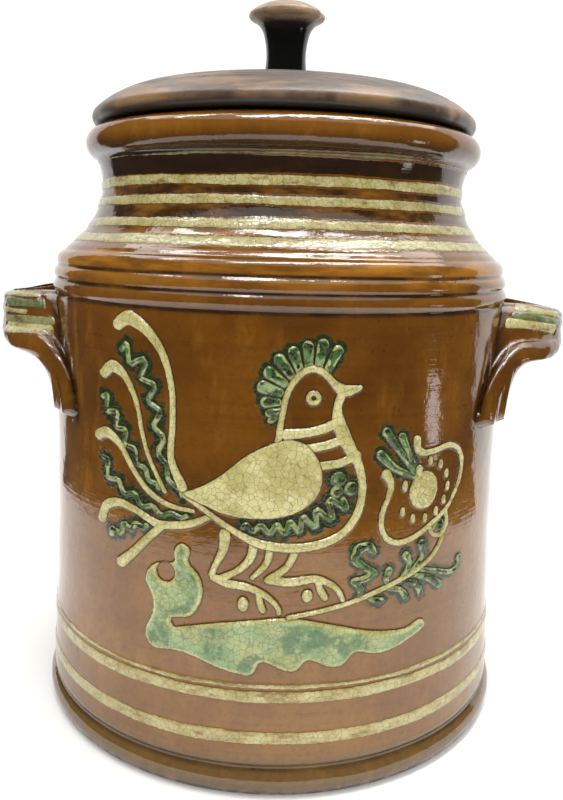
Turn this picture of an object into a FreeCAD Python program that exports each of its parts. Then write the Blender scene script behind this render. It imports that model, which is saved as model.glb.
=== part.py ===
import FreeCAD, Part
import math
import os
import Sketcher

# A lidded redware butter crock, in millimetres.
# +Z is up. The origin is on the pot's axis, in the plane that the foot stands on.
# The slip-trailed picture faces -Y, and the two lug handles stand out along X.

doc = FreeCAD.newDocument("butter_crock")
sheet = doc.addObject("Spreadsheet::Sheet", "Sizes")

# Points of the turned profiles: name, radius from the axis, height above the foot.
PROFILE_POINTS = [
    # The pot, outside, from the foot to the rim.
    ("base_edge", 114.6, 0.0),
    ("foot_roll", 118.0, 5.6),
    ("foot_roll_top", 116.4, 10.8),
    ("foot_groove", 114.4, 12.6),
    ("wall_foot", 115.9, 15.4),
    ("wall_middle", 112.3, 92.0),
    ("wall_top", 111.0, 198.6),
    ("first_groove", 110.1, 202.4),
    ("first_ridge", 111.8, 205.6),
    ("second_groove", 109.8, 208.8),
    ("second_ridge", 111.0, 212.0),
    ("third_groove", 108.8, 215.2),
    ("third_ridge", 109.4, 218.6),
    ("top_groove", 105.8, 222.2),
    ("shoulder_edge", 104.6, 224.0),
    ("neck_curve", 93.4, 235.6),
    ("neck_waist", 87.7, 250.5),
    ("neck_flare", 88.3, 258.0),
    ("rim_groove", 90.0, 264.0),
    ("rim_roll", 95.4, 270.8),
    ("rim_shoulder", 92.4, 277.0),
    ("rim_top", 86.0, 279.0),
    # The pot, inside, from the rim to the floor.
    ("lip_inside", 80.6, 274.0),
    ("neck_inside", 79.8, 248.0),
    ("shoulder_inside", 87.6, 229.0),
    ("wall_inside_top", 102.0, 208.0),
    ("wall_inside_foot", 106.4, 24.0),
    ("floor_corner", 103.0, 15.0),
    ("floor_edge", 94.0, 11.0),
    # The turned lid, from its locating plug to its crown.
    ("plug_bottom", 76.6, 271.4),
    ("plug_side", 78.0, 272.8),
    ("lid_seat", 78.0, 279.3),
    ("lid_underside", 89.6, 279.3),
    ("lid_edge", 92.3, 282.4),
    ("lid_edge_top", 91.4, 285.8),
    ("lid_dome", 84.0, 291.4),
    ("lid_dome_top", 70.0, 296.6),
    ("lid_crown", 42.0, 300.6),
    ("lid_middle", 12.6, 302.4),
    # The turned knob and its tenon.
    ("tenon_foot", 6.0, 286.4),
    ("tenon_top", 6.0, 302.4),
    ("knob_foot", 12.2, 302.4),
    ("knob_waist", 9.6, 317.0),
    ("knob_flare", 11.4, 327.0),
    ("knob_flare_out", 14.0, 330.6),
    ("knob_lip", 17.6, 332.8),
    ("knob_edge", 18.4, 334.0),
    ("knob_edge_top", 17.6, 335.4),
    ("knob_cap", 10.0, 339.3),
    ("knob_top", 2.0, 340.6),
]

SINGLE_SIZES = [
    # Lug handles: each is a bent strap, a slice of a flared oval tube that stands beside the pot.
    ("handle_offset", 78.0),
    ("left_handle_reach", 62.0),
    ("right_handle_reach", 66.0),
    ("handle_half_width_at_top", 40.0),
    ("handle_half_width_at_root", 70.0),
    ("handle_thickness", 8.5),
    ("handle_top", 203.0),
    ("handle_bottom", 148.5),
    ("strap_width", 28.0),
    ("root_half_gap", 59.0),
    ("arch_radius", 17.0),
    ("arch_depth", 160.0),
    ("handle_round", 3.0),
    # Slip stripes along the straps.
    ("stripe_relief", 0.8),
    ("stripe_width", 3.0),
    ("stripe_pitch", 4.2),
    ("lowest_stripe", 180.5),
    ("stripe_inner_end", 109.0),
    # Slip bands around the pot, and the slip-trailed picture on its front.
    ("slip_relief", 1.1),
    ("picture_radius", 112.0),
    ("picture_step", 3.0),
]

# Slip bands around the pot: node name, height of the lower edge, width.
SLIP_BANDS = [
    ("foot_slip_band_lower", 24.0, 5.0),
    ("foot_slip_band_upper", 42.4, 4.6),
    ("foot_slip_line", 48.6, 1.4),
    ("neck_slip_band_1", 226.6, 3.4),
    ("neck_slip_band_2", 233.4, 3.4),
    ("neck_slip_band_3", 242.6, 3.4),
    ("neck_slip_band_4", 250.4, 3.6),
    ("rim_slip_line", 261.4, 2.0),
]

# Which of the evenly spaced stripes each strap carries, from the lowest: left (-1) and right (1).
STRIPES = {-1: (0, 1, 2, 3, 4), 1: (2, 3, 4)}

# The handles' oval outline is drawn at this many heights, through this many points each time.
STRAP_SECTIONS = 5
STRAP_POINTS = 24

# The slip-trailed picture: a folk bird with a fan tail, a berry flower on a leafy stem, and a
# ground leaf. Places are millimetres round the wall from the middle of the front, then height.
# A stroke is a list of places along its middle, each with the trail's half width there.
PLUMES = [
    [(-70, 194, 2.6), (-64, 197, 3.0), (-55, 193, 2.3), (-47, 184, 1.7), (-43, 171, 1.4),
     (-42.5, 156, 1.4), (-43, 142, 1.6), (-38, 131, 2.2)],
    [(-79, 173, 2.4), (-73, 176.5, 2.6), (-66, 173, 1.8), (-60, 163, 1.2), (-57, 151, 1.0),
     (-53, 140, 1.0), (-46, 128, 1.0)],
    [(-83, 146, 2.4), (-77, 148, 2.3), (-69, 144, 1.6), (-62, 135, 1.2), (-54, 127, 1.2),
     (-44, 122.5, 1.1), (-33, 121.5, 0.8)],
    [(-81, 110, 2.5), (-78, 116, 2.3), (-70, 119, 1.8), (-60, 117.5, 1.5), (-50, 114, 1.7),
     (-41, 114.5, 1.7), (-33, 116.5, 1.6), (-26, 120, 1.1)],
    [(-69, 93, 2.5), (-62, 99, 2.0), (-55, 106, 1.8), (-48, 112.5, 1.7)],
]

# A wavy strand: places along its middle, its half width, the swing at its tip and at its root,
# and the count of waves.
TAIL_STRANDS = [
    ([(-68, 184), (-58, 179), (-52, 166), (-48.5, 151), (-46, 138), (-38, 127.5)], 1.0, 3.6, 0.8, 6.5),
    ([(-80, 163), (-72, 155), (-65, 146), (-57, 136), (-49, 129)], 1.0, 2.8, 0.8, 5.5),
    ([(-80, 137), (-75, 129), (-66, 125), (-55, 120.5), (-44, 118.5), (-36, 119)], 1.0, 2.4, 0.6, 5.0),
    ([(-75, 104), (-69, 108), (-61, 110.5), (-55, 112)], 1.2, 2.0, 0.8, 3.0),
]

BIRD_BODY = [
    (-37, 129), (-30, 132), (-22, 137), (-12, 145.5), (-2, 151), (5, 153), (12, 151), (17, 145),
    (19, 137), (17, 130), (11, 124.5), (3, 121.5), (-8, 120.5), (-20, 121.5), (-30, 125),
]

NECK_AND_HEAD = [
    # Nape and brow, then the beak, the throat, the breast and the belly, back to the tail.
    [(1, 152, 1.4), (2, 161, 1.2), (4, 171, 1.2), (8, 178, 1.3), (13, 181, 1.4), (18, 179.5, 1.4),
     (22, 175.5, 1.5), (26, 172.5, 2.4), (30, 172.8, 1.8), (33, 173.5, 1.0)],
    [(26, 172, 2.0), (24, 166, 1.7), (25, 159, 2.8), (29, 150.5, 2.7), (33.5, 143, 1.9),
     (36, 133, 1.7), (34.5, 123, 1.7), (29, 115, 1.7), (20, 110.5, 1.8), (8, 108.8, 1.9),
     (-4, 110, 1.9), (-12, 113, 1.5), (-21, 118, 1.2), (-29, 123, 1.1), (-37, 127.5, 1.0)],
    [(4, 155, 2.2), (13, 156, 1.8), (20, 157.8, 1.9), (25, 160.5, 2.0)],
    [(13, 149.5, 1.7), (21, 151, 1.8), (28, 153.5, 1.9)],
    [(18, 142.5, 1.7), (26, 143.5, 1.7), (33, 146.5, 1.8)],
]

# Each crest lobe: its angle round the head, how far out it reaches, and its half width there.
CREST_MIDDLE = (13, 168)
CREST_ROOT = 12.6
CREST_LOBES = [
    (63, 22.6, 2.1), (79, 22.8, 2.2), (94, 21.6, 2.2), (110, 20.6, 2.2), (127, 20.4, 2.3),
    (145, 19.6, 2.4), (163, 19.2, 2.5), (181, 17.2, 2.2), (196, 16.4, 1.6), (206, 17.0, 1.2),
]

EYE = (14.3, 169.6, 3.0)

WING_STRAND = ([(-12, 117), (0, 116.5), (11, 118.5), (20, 122.5), (28, 128.5)], 1.1, 0.8, 4.2, 7.0)

WING_TIP = [(25.5, 137, 3.0), (31, 132.8, 2.8), (25, 131.8, 2.5)]

LEGS = [
    [(-19.5, 113.5, 2.3), (-20, 107, 1.9), (-23.5, 99.5, 1.3), (-24.6, 96, 1.6)],
    [(-24, 94.8, 1.6), (-18, 92.8, 1.8), (-10, 91.8, 1.6), (-3, 89, 1.3), (2, 84.5, 1.1), (3.2, 81.5, 1.1)],
    [(-7.5, 111, 1.9), (-9, 104, 1.7), (-14, 98.5, 1.4), (-21, 94.6, 1.5)],
    [(-5.5, 89.5, 1.2), (-4.5, 85, 1.4), (-3.4, 82.4, 1.3)],
    [(-1, 109, 1.5), (-2.5, 102, 1.4), (-8, 96, 0.9)],
    [(9, 107.5, 1.7), (6, 101, 1.5), (0, 96.2, 1.7)],
    [(-1.5, 95.2, 1.7), (8, 94.5, 1.9), (18, 95.5, 1.6), (26, 91.5, 1.3), (29.5, 86, 1.1)],
    [(18.5, 95, 1.2), (20, 90.5, 1.5), (21.8, 87.6, 1.5)],
]

LEG_DOTS = [(-11.5, 84.5, 2.2, 3.1), (14.5, 88.5, 2.2, 2.7)]

FLOWER_RIM = [
    [(61, 150.5, 1.9), (61.5, 147, 1.8), (65.5, 144.5, 1.4), (73, 145, 1.2), (80, 146, 1.2),
     (87, 143.5, 1.1), (90.5, 137, 1.0), (89.5, 129, 0.9), (85.5, 122.5, 0.9), (80.5, 117.5, 1.0),
     (72, 113, 1.1), (63, 109, 1.2), (55, 107.5, 1.3), (49, 109.5, 1.3), (45.5, 115, 1.2),
     (45.5, 121, 1.2), (48, 127.5, 1.2), (49, 133, 1.7), (46.5, 137.5, 2.2)],
]

FLOWER_MIDDLE = (66.5, 128.5, 7.8, 8.2)
FLOWER_BUD = (63, 137.4, 1.9, 2.4)
FLOWER_DOTS = {"first_angle": -140, "last_angle": 80, "count": 9, "across": 14.5, "up": 12.5,
               "half_width": 1.3, "half_height": 2.1}
FLOWER_EXTRA_DOTS = [(56, 131.5, 1.4, 2.5)]

SEPALS = [
    [(61, 135, 1.1), (51, 139.5, 1.5), (43.5, 146, 1.9)],
    [(61.5, 136, 1.1), (53, 146, 1.3), (45.8, 155, 2.0)],
    [(62, 137, 1.0), (57.5, 145, 1.2), (53.5, 152.5, 1.7)],
]

SEED_POD = [(81, 117, 1.0), (81.5, 111, 1.2), (77.5, 107, 1.2), (72.5, 108.5, 1.0), (71, 112.5, 0.9)]
SEED = (76.2, 111.4, 3.6, 2.9)

STEM = [
    [(80.5, 109, 1.1), (78, 103, 1.1), (74, 98.5, 1.0), (67, 94.5, 1.0), (58, 91.5, 1.1),
     (45, 87.8, 1.1), (33, 84.5, 1.0), (20, 81.8, 1.0), (7, 79.5, 1.0)],
]

LEAFLETS = [
    [(50, 89.5, 0.9), (49, 92.5, 1.2), (50.2, 96, 1.8)],
    [(57, 91.5, 1.0), (60.5, 97, 1.4), (58.6, 101.5, 1.8)],
    [(62, 93.5, 1.0), (68, 99.5, 1.5), (67, 105, 2.1)],
    [(41, 85.8, 1.0), (44, 84, 1.3), (47.2, 83.4, 1.6)],
    [(50, 88.5, 1.0), (56.5, 86.5, 1.3), (59.6, 82.8, 1.7)],
    [(57, 90.5, 1.0), (65, 87.5, 1.4), (68, 82.6, 1.7)],
    [(63, 92, 1.0), (72, 88.8, 1.4), (79.6, 84, 1.9)],
    [(66, 93.8, 1.0), (76, 91, 1.1), (87, 87.8, 1.1), (93, 89, 1.3), (94, 92.5, 1.7)],
]

TENDRIL = [
    [(36.5, 85.5, 1.1), (37, 90, 1.5), (34, 93.3, 1.3)],
    [(34, 93.6, 1.3), (39, 94, 1.6), (43, 95.8, 1.6)],
    [(43, 96.2, 1.5), (38, 99.5, 1.5), (34.2, 103, 2.0), (35.4, 107, 2.1)],
    [(36, 107.4, 2.1), (40, 107.8, 1.9), (42, 105.2, 1.7)],
]

GROUND_LEAF = [
    (-40, 71), (-29, 74), (-17, 76.5), (-5, 78.3), (6, 79.3), (18, 77.5), (30, 74.5), (42, 71.2),
    (54, 69.2), (63, 69.6), (69, 71), (71.2, 68.6), (67, 65.4), (58, 62.2), (49, 60.4),
    (41, 61.6), (35.5, 62.4), (32, 58.8), (23, 58), (14.5, 60.4), (11.5, 57), (4, 57.4),
    (-4.5, 59.4), (-7, 54.8), (-13, 54.4), (-23, 56.6), (-34, 60), (-44, 60.4), (-52, 60.2),
    (-55, 64), (-53.5, 71), (-51, 77), (-52, 83), (-55, 89), (-52.5, 95), (-46.5, 97.8),
    (-41.5, 99), (-41, 104), (-38, 107.2), (-34.4, 105.4), (-35, 100.6), (-31, 95.5),
    (-28.6, 88), (-30.6, 80.6), (-36, 76), (-42.6, 73.4),
]

CROCK_OUTLINE = [
    ("base_edge",),
    ("foot_roll", "foot_roll_top"),
    ("foot_groove",),
    ("wall_foot",),
    ("wall_middle", "wall_top"),
    ("first_groove",),
    ("first_ridge", "second_groove"),
    ("second_ridge", "third_groove"),
    ("third_ridge", "top_groove"),
    ("shoulder_edge",),
    ("neck_curve", "neck_waist"),
    ("neck_flare", "rim_groove"),
    ("rim_roll", "rim_shoulder"),
    ("rim_top",),
]

CAVITY_OUTLINE = [
    ("floor_edge",),
    ("floor_corner", "wall_inside_foot"),
    ("wall_inside_top",),
    ("shoulder_inside", "neck_inside"),
    ("lip_inside",),
    ("rim_top",),
]

LID_OUTLINE = [
    ("plug_bottom",),
    ("plug_side",),
    ("lid_seat",),
    ("lid_underside",),
    ("lid_edge", "lid_edge_top"),
    ("lid_dome", "lid_dome_top"),
    ("lid_crown", "lid_middle"),
]

KNOB_OUTLINE = [
    ("tenon_foot",),
    ("tenon_top",),
    ("knob_foot",),
    ("knob_waist", "knob_flare"),
    ("knob_flare_out", "knob_lip"),
    ("knob_edge", "knob_edge_top"),
    ("knob_cap", "knob_top"),
]


def add_size(row, name, value):
    """Put one driving dimension on a row of its own."""
    sheet.set("A%d" % row, name)
    sheet.set("B%d" % row, str(value))
    sheet.setAlias("B%d" % row, name)


def fill_sheet():
    """Write every driving dimension into the sheet."""
    sizes = list(SINGLE_SIZES)
    for name, radius, height in PROFILE_POINTS:
        sizes += [(name + "_radius", radius), (name + "_height", height)]
    for name, foot, width in SLIP_BANDS:
        sizes += [(name + "_foot", foot), (name + "_width", width)]
    for row, (name, value) in enumerate(sizes, start=1):
        add_size(row, name, value)
    doc.recompute()


def size(name):
    """Read one driving dimension from the sheet."""
    return float(sheet.get(name))


def origin_plane(body, role):
    """Find one of a body's own origin planes by its role."""
    for feature in body.Origin.OriginFeatures:
        if feature.Role == role:
            return feature
    raise RuntimeError("no plane " + role)


def new_sketch(body, name, role):
    """Make a sketch on one of a body's own origin planes."""
    sketch = body.newObject("Sketcher::SketchObject", name)
    sketch.AttachmentSupport = [(origin_plane(body, role), "")]
    sketch.MapMode = "FlatFace"
    return sketch


def profile_point(name):
    """Give a profile point as a place in its sketch: radius across, height up."""
    return FreeCAD.Vector(size(name + "_radius"), size(name + "_height"), 0)


def bind(sketch, kind, geometry, end, value, expression):
    """Hold one coordinate of a sketch point at a value from the sheet."""
    index = sketch.addConstraint(Sketcher.Constraint(kind, -1, 1, geometry, end, value))
    sketch.setExpression("Constraints[%d]" % index, expression)


def bind_profile_point(sketch, geometry, end, name):
    """Hold a sketch point at a named point of a profile."""
    place = profile_point(name)
    if place.x == 0:
        sketch.addConstraint(Sketcher.Constraint("PointOnObject", geometry, end, -2))
    else:
        bind(sketch, "DistanceX", geometry, end, place.x, "Sizes.%s_radius" % name)
    if place.y == 0:
        sketch.addConstraint(Sketcher.Constraint("PointOnObject", geometry, end, -1))
    else:
        bind(sketch, "DistanceY", geometry, end, place.y, "Sizes.%s_height" % name)


def add_edge(sketch, start, step):
    """Add a line, or an arc through a named point, and give its index and its two ends."""
    finish = profile_point(step[-1])
    if len(step) == 1:
        return sketch.addGeometry(Part.LineSegment(start, finish), False), 1, 2
    via = profile_point(step[0])
    index = sketch.addGeometry(Part.Arc(start, via, finish), False)
    mark = sketch.addGeometry(Part.Point(via), True)
    bind_profile_point(sketch, mark, 1, step[0])
    sketch.addConstraint(Sketcher.Constraint("PointOnObject", mark, 1, index))
    if sketch.getPoint(index, 1).distanceToPoint(start) < 0.001:
        return index, 1, 2
    return index, 2, 1


def draw_outline(sketch, outline):
    """Draw a closed half-section: in from the axis, round the outline, and back down the axis."""
    start = FreeCAD.Vector(0, profile_point(outline[0][-1]).y, 0)
    corner = start
    last = None
    for step in outline:
        index, tail, head = add_edge(sketch, corner, step)
        if last is None:
            first = (index, tail)
            sketch.addConstraint(Sketcher.Constraint("PointOnObject", index, tail, -2))
            sketch.addConstraint(Sketcher.Constraint("Horizontal", index))
        else:
            sketch.addConstraint(Sketcher.Constraint("Coincident", last[0], last[1], index, tail))
        bind_profile_point(sketch, index, head, step[-1])
        last = (index, head)
        corner = profile_point(step[-1])
    if corner.x > 0:
        inner = FreeCAD.Vector(0, corner.y, 0)
        index = sketch.addGeometry(Part.LineSegment(corner, inner), False)
        sketch.addConstraint(Sketcher.Constraint("Coincident", last[0], last[1], index, 1))
        sketch.addConstraint(Sketcher.Constraint("PointOnObject", index, 2, -2))
        sketch.addConstraint(Sketcher.Constraint("Horizontal", index))
        last = (index, 2)
        corner = inner
    index = sketch.addGeometry(Part.LineSegment(corner, start), False)
    sketch.addConstraint(Sketcher.Constraint("Coincident", last[0], last[1], index, 1))
    sketch.addConstraint(Sketcher.Constraint("Coincident", index, 2, first[0], first[1]))


def turn(body, kind, outline):
    """Spin an outline a full turn about the pot's axis, to add or to cut."""
    sketch = new_sketch(body, body.Name + "_" + kind + "_sketch", "XZ_Plane")
    draw_outline(sketch, outline)
    doc.recompute()
    feature = body.newObject("PartDesign::" + kind, body.Name + "_" + kind)
    feature.Profile = sketch
    feature.ReferenceAxis = (sketch, ["V_Axis"])
    feature.Angle = 360
    doc.recompute()
    return feature


def turned_body(name, outline):
    """Make a body of one turned solid."""
    body = doc.addObject("PartDesign::Body", name)
    turn(body, "Revolution", outline)
    return body


def make_crock():
    """Throw the pot: the solid form, with the cavity turned out of it."""
    body = turned_body("crock_body", CROCK_OUTLINE)
    solid_volume = body.Shape.Volume
    turn(body, "Groove", CAVITY_OUTLINE)
    if body.Shape.Volume > 0.5 * solid_volume:
        raise RuntimeError("the cavity was not cut")
    return body


def make_lid(knob):
    """Turn the lid, and bore the socket that the knob's tenon fills."""
    blank = turned_body("lid_blank", LID_OUTLINE)
    return cut("lid", blank, knob)


def cut(name, base, tool):
    """Take one solid away from another."""
    result = doc.addObject("Part::Cut", name)
    result.Base = base
    result.Tool = tool
    doc.recompute()
    return result


def handle_reach(side):
    """Tell how far one handle's outermost line stands from the middle of its oval."""
    return size("right_handle_reach" if side > 0 else "left_handle_reach")


def strap_outline(side, grow, part):
    """Draw the oval outline of a handle at one height, starting inside the pot. Part 0 is the top."""
    flare = 1 - (1 - part) ** 2
    top_half = size("handle_half_width_at_top")
    half_width = top_half + (size("handle_half_width_at_root") - top_half) * flare + grow
    reach = handle_reach(side) + grow
    z = size("handle_top") + (size("handle_bottom") - size("handle_top")) * part
    points = []
    for step in range(STRAP_POINTS):
        angle = 2 * math.pi * step / STRAP_POINTS
        x = side * (size("handle_offset") - reach * math.cos(angle))
        points.append(FreeCAD.Vector(x, half_width * math.sin(angle), z))
    curve = Part.BSplineCurve()
    curve.interpolate(points, PeriodicFlag=True)
    return Part.Wire(curve.toShape())


def strap_form(side, grow):
    """Make the solid flared oval form of a handle, larger all round by the given growth."""
    parts = [index / (STRAP_SECTIONS - 1) for index in range(STRAP_SECTIONS)]
    return Part.makeLoft([strap_outline(side, grow, part) for part in parts], True, False)


def arch_sketch(body):
    """Draw the arch that leaves a narrow strap between two tall roots."""
    sketch = new_sketch(body, body.Name + "_arch", "YZ_Plane")
    half = size("root_half_gap")
    radius = size("arch_radius")
    top = size("handle_top") - size("strap_width")
    foot = size("handle_bottom") - radius
    left_turn = FreeCAD.Vector(radius - half, top - radius, 0)
    right_turn = FreeCAD.Vector(half - radius, top - radius, 0)
    up = FreeCAD.Vector(0, 0, 1)
    edges = [
        Part.LineSegment(FreeCAD.Vector(-half, foot, 0), FreeCAD.Vector(half, foot, 0)),
        Part.LineSegment(FreeCAD.Vector(half, foot, 0), FreeCAD.Vector(half, top - radius, 0)),
        Part.ArcOfCircle(Part.Circle(right_turn, up, radius), 0, math.pi / 2),
        Part.LineSegment(FreeCAD.Vector(half - radius, top, 0), FreeCAD.Vector(radius - half, top, 0)),
        Part.ArcOfCircle(Part.Circle(left_turn, up, radius), math.pi / 2, math.pi),
        Part.LineSegment(FreeCAD.Vector(-half, top - radius, 0), FreeCAD.Vector(-half, foot, 0)),
    ]
    sketch.addGeometry(edges, False)
    for this, following in ((0, 1), (5, 0)):
        sketch.addConstraint(Sketcher.Constraint("Coincident", this, 2, following, 1))
    for line, line_end, arc, arc_end in ((1, 2, 2, 1), (3, 1, 2, 2), (3, 2, 4, 1), (5, 1, 4, 2)):
        sketch.addConstraint(Sketcher.Constraint("Tangent", line, line_end, arc, arc_end))
    sketch.addConstraint(Sketcher.Constraint("Horizontal", 3))
    sketch.addConstraint(Sketcher.Constraint("Symmetric", 0, 1, 0, 2, -2))
    sketch.addConstraint(Sketcher.Constraint("Equal", 2, 4))
    sketch.addConstraint(Sketcher.Constraint("Vertical", 1))
    sketch.addConstraint(Sketcher.Constraint("Vertical", 5))
    bind(sketch, "DistanceX", 0, 2, half, "Sizes.root_half_gap")
    bind(sketch, "DistanceY", 0, 2, foot, "Sizes.handle_bottom - Sizes.arch_radius")
    bind(sketch, "DistanceY", 3, 1, top, "Sizes.handle_top - Sizes.strap_width")
    index = sketch.addConstraint(Sketcher.Constraint("Radius", 2, radius))
    sketch.setExpression("Constraints[%d]" % index, "Sizes.arch_radius")
    return sketch


def make_arch_tool(name):
    """Make the block that is cut away below both straps."""
    body = doc.addObject("PartDesign::Body", name)
    pad = body.newObject("PartDesign::Pad", name + "_pad")
    pad.Profile = arch_sketch(body)
    pad.SideType = "Symmetric"
    pad.setExpression("Length", "2 * Sizes.arch_depth")
    doc.recompute()
    return body


def round_top(shape):
    """Soften the outer edge along the top of a strap, as a wet thumb does."""
    top = size("handle_top") - 0.01
    edges = [edge for edge in shape.Edges if edge.BoundBox.ZMin > top]
    return shape.makeFillet(size("handle_round"), [max(edges, key=lambda edge: edge.Length)])


def make_handle(name, side, arch, crock_form):
    """Bend one strap handle: a flared tube, arched below, softened, and fitted to the wall."""
    tube = strap_form(side, 0).cut(strap_form(side, -size("handle_thickness")))
    arched = tube.cut(arch.Shape)
    if arched.Volume > 0.95 * tube.Volume:
        raise RuntimeError("the arch was not cut")
    strap = doc.addObject("Part::Feature", name + "_strap")
    strap.Shape = round_top(arched)
    return cut(name, strap, crock_form)


def make_stripes(name, side):
    """Lay the slip stripes along one strap, as thin raised bands."""
    skin = strap_form(side, size("stripe_relief")).cut(strap_form(side, 0))
    start = size("stripe_inner_end")
    length = size("handle_offset") + handle_reach(side) + size("handle_thickness") - start
    depth = 2 * size("handle_half_width_at_root")
    bands = []
    for number in STRIPES[side]:
        foot = size("lowest_stripe") + number * size("stripe_pitch")
        corner = FreeCAD.Vector(start if side > 0 else -start - length, -depth / 2, foot)
        bands.append(skin.common(Part.makeBox(length, depth, size("stripe_width"), corner)))
    stripes = doc.addObject("Part::Feature", name)
    stripes.Shape = Part.makeCompound([solid for band in bands for solid in band.Solids])
    return stripes


def make_slip_band(name, crock_form):
    """Trail one slip band round the pot: a low crowned ring on the outside of the wall."""
    relief = size("slip_relief")
    foot = size(name + "_foot")
    top = foot + size(name + "_width")
    lower = wall_radius(foot)
    upper = wall_radius(top)
    sink = 2.0
    points = [
        FreeCAD.Vector(lower - sink, 0, foot),
        FreeCAD.Vector(lower + 0.1, 0, foot),
        FreeCAD.Vector((lower + upper) / 2 + relief, 0, (foot + top) / 2),
        FreeCAD.Vector(upper + 0.1, 0, top),
        FreeCAD.Vector(upper - sink, 0, top),
    ]
    crown = Part.Arc(points[1], points[2], points[3]).toShape()
    sides = [
        Part.makeLine(points[0], points[1]),
        crown,
        Part.makeLine(points[3], points[4]),
        Part.makeLine(points[4], points[0]),
    ]
    face = Part.Face(Part.Wire(sides))
    ring = face.revolve(FreeCAD.Vector(), FreeCAD.Vector(0, 0, 1), 360)
    blank = doc.addObject("Part::Feature", name + "_blank")
    blank.Shape = ring
    return cut(name, blank, crock_form)


def wall_radius(height):
    """Find the pot's outside radius at a height."""
    ray = Part.makeLine(FreeCAD.Vector(0, 0, height), FreeCAD.Vector(200, 0, height))
    inside = doc.getObject("crock_form").Shape.common(ray)
    return inside.BoundBox.XMax


def smooth(places):
    """Run a smooth line through hand-placed points, and sample it at short even steps."""
    count = len(places)
    result = []
    for span in range(count - 1):
        before = places[max(span - 1, 0)]
        start, end = places[span], places[span + 1]
        after = places[min(span + 2, count - 1)]
        reach = math.hypot(end[0] - start[0], end[1] - start[1])
        steps = max(2, round(reach / size("picture_step")))
        for step in range(steps):
            result.append(curve_point(before, start, end, after, step / steps))
    result.append(tuple(float(value) for value in places[-1]))
    return result


def curve_point(before, start, end, after, part):
    """Give one point of a Catmull-Rom curve between start and end."""
    square = part * part
    cube = square * part
    return tuple(
        0.5 * (2 * b + (c - a) * part + (2 * a - 5 * b + 4 * c - d) * square
               + (3 * b - a - 3 * c + d) * cube)
        for a, b, c, d in zip(before, start, end, after)
    )


def wavy_stroke(places, half_width, first_swing, last_swing, waves):
    """Make a wavy strand of one width: its line swings less towards its last place."""
    line = smooth(places)
    last = len(line) - 1
    points_per_wave = 6
    steps = int(waves * points_per_wave)
    result = []
    for step in range(steps + 1):
        along = step / steps
        place = min(int(along * last), last - 1)
        part = along * last - place
        here, there = line[place], line[place + 1]
        x, z = [a + (b - a) * part for a, b in zip(here, there)]
        length = math.hypot(there[0] - here[0], there[1] - here[1])
        swing = first_swing + (last_swing - first_swing) * along
        shift = swing * math.sin(2 * math.pi * waves * along) / length
        result.append(picture_vector(x - (there[1] - here[1]) * shift, z + (there[0] - here[0]) * shift))
    round_joins = 0
    return Part.makePolygon(result).makeOffset2D(half_width, round_joins, True, False, False)


def picture_vector(across, height):
    """Put a place on the wall into the flat plane that the picture is cut from."""
    radius = size("picture_radius")
    return FreeCAD.Vector(radius * math.sin(across / radius), 0, height)


def curve_through(places, closed=False):
    """Run one smooth edge through places of the flat picture."""
    curve = Part.BSplineCurve()
    curve.interpolate([picture_vector(*place[:2]) for place in places], PeriodicFlag=closed)
    return curve.toShape()


def flat_face(edges):
    """Make a flat face inside a closed ring of edges."""
    face = Part.Face(Part.Wire(edges))
    if not face.isValid() or face.Area <= 0:
        raise RuntimeError("a drawn outline crosses itself near %s" % edges[0].firstVertex().Point)
    return face


def patch(places):
    """Fill a closed outline drawn through hand-placed points."""
    return flat_face([curve_through(places, closed=True)])


def disc(x, z, half_width, half_height):
    """Make an oval drop of slip."""
    corner_count = 12
    turns = [2 * math.pi * corner / corner_count for corner in range(corner_count)]
    return patch([(x + half_width * math.cos(t), z + half_height * math.sin(t)) for t in turns])


def heading(points, index):
    """Give the direction of a line at one of its points, as a unit vector."""
    before = points[max(index - 1, 0)]
    after = points[min(index + 1, len(points) - 1)]
    length = math.hypot(after[0] - before[0], after[1] - before[1])
    return (after[0] - before[0]) / length, (after[1] - before[1]) / length


def stroke(points):
    """Make a trailed stroke: two sides beside the middle line, and a round cap at each end."""
    left = []
    right = []
    for index, (x, z, half) in enumerate(points):
        ahead_x, ahead_z = heading(points, index)
        left.append((x - ahead_z * half, z + ahead_x * half))
        right.append((x + ahead_z * half, z - ahead_x * half))
    tips = []
    for index, sign in ((0, -1), (len(points) - 1, 1)):
        x, z, half = points[index]
        ahead_x, ahead_z = heading(points, index)
        tips.append((x + sign * ahead_x * half, z + sign * ahead_z * half))
    near_cap = Part.Arc(*[picture_vector(*place) for place in (right[0], tips[0], left[0])])
    far_cap = Part.Arc(*[picture_vector(*place) for place in (left[-1], tips[1], right[-1])])
    right.reverse()
    return flat_face([
        near_cap.toShape(), curve_through(left), far_cap.toShape(), curve_through(right),
    ])


def join(faces):
    """Join flat faces into one flat shape, without the seams between them."""
    if len(faces) == 1:
        return faces[0]
    return faces[0].fuse(faces[1:]).removeSplitter()


def strokes(lines):
    """Make smooth strokes from hand-placed lines."""
    return [stroke(smooth(line)) for line in lines]


def crest_lines():
    """Fan the crest's lobes round the back of the head."""
    middle_x, middle_z = CREST_MIDDLE
    lines = []
    for degrees, tip, half_width in CREST_LOBES:
        angle = math.radians(degrees)
        lines.append([
            (middle_x + reach * math.cos(angle), middle_z + reach * math.sin(angle), half)
            for reach, half in ((CREST_ROOT, 0.7 * half_width), (tip, half_width))
        ])
    return lines


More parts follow.
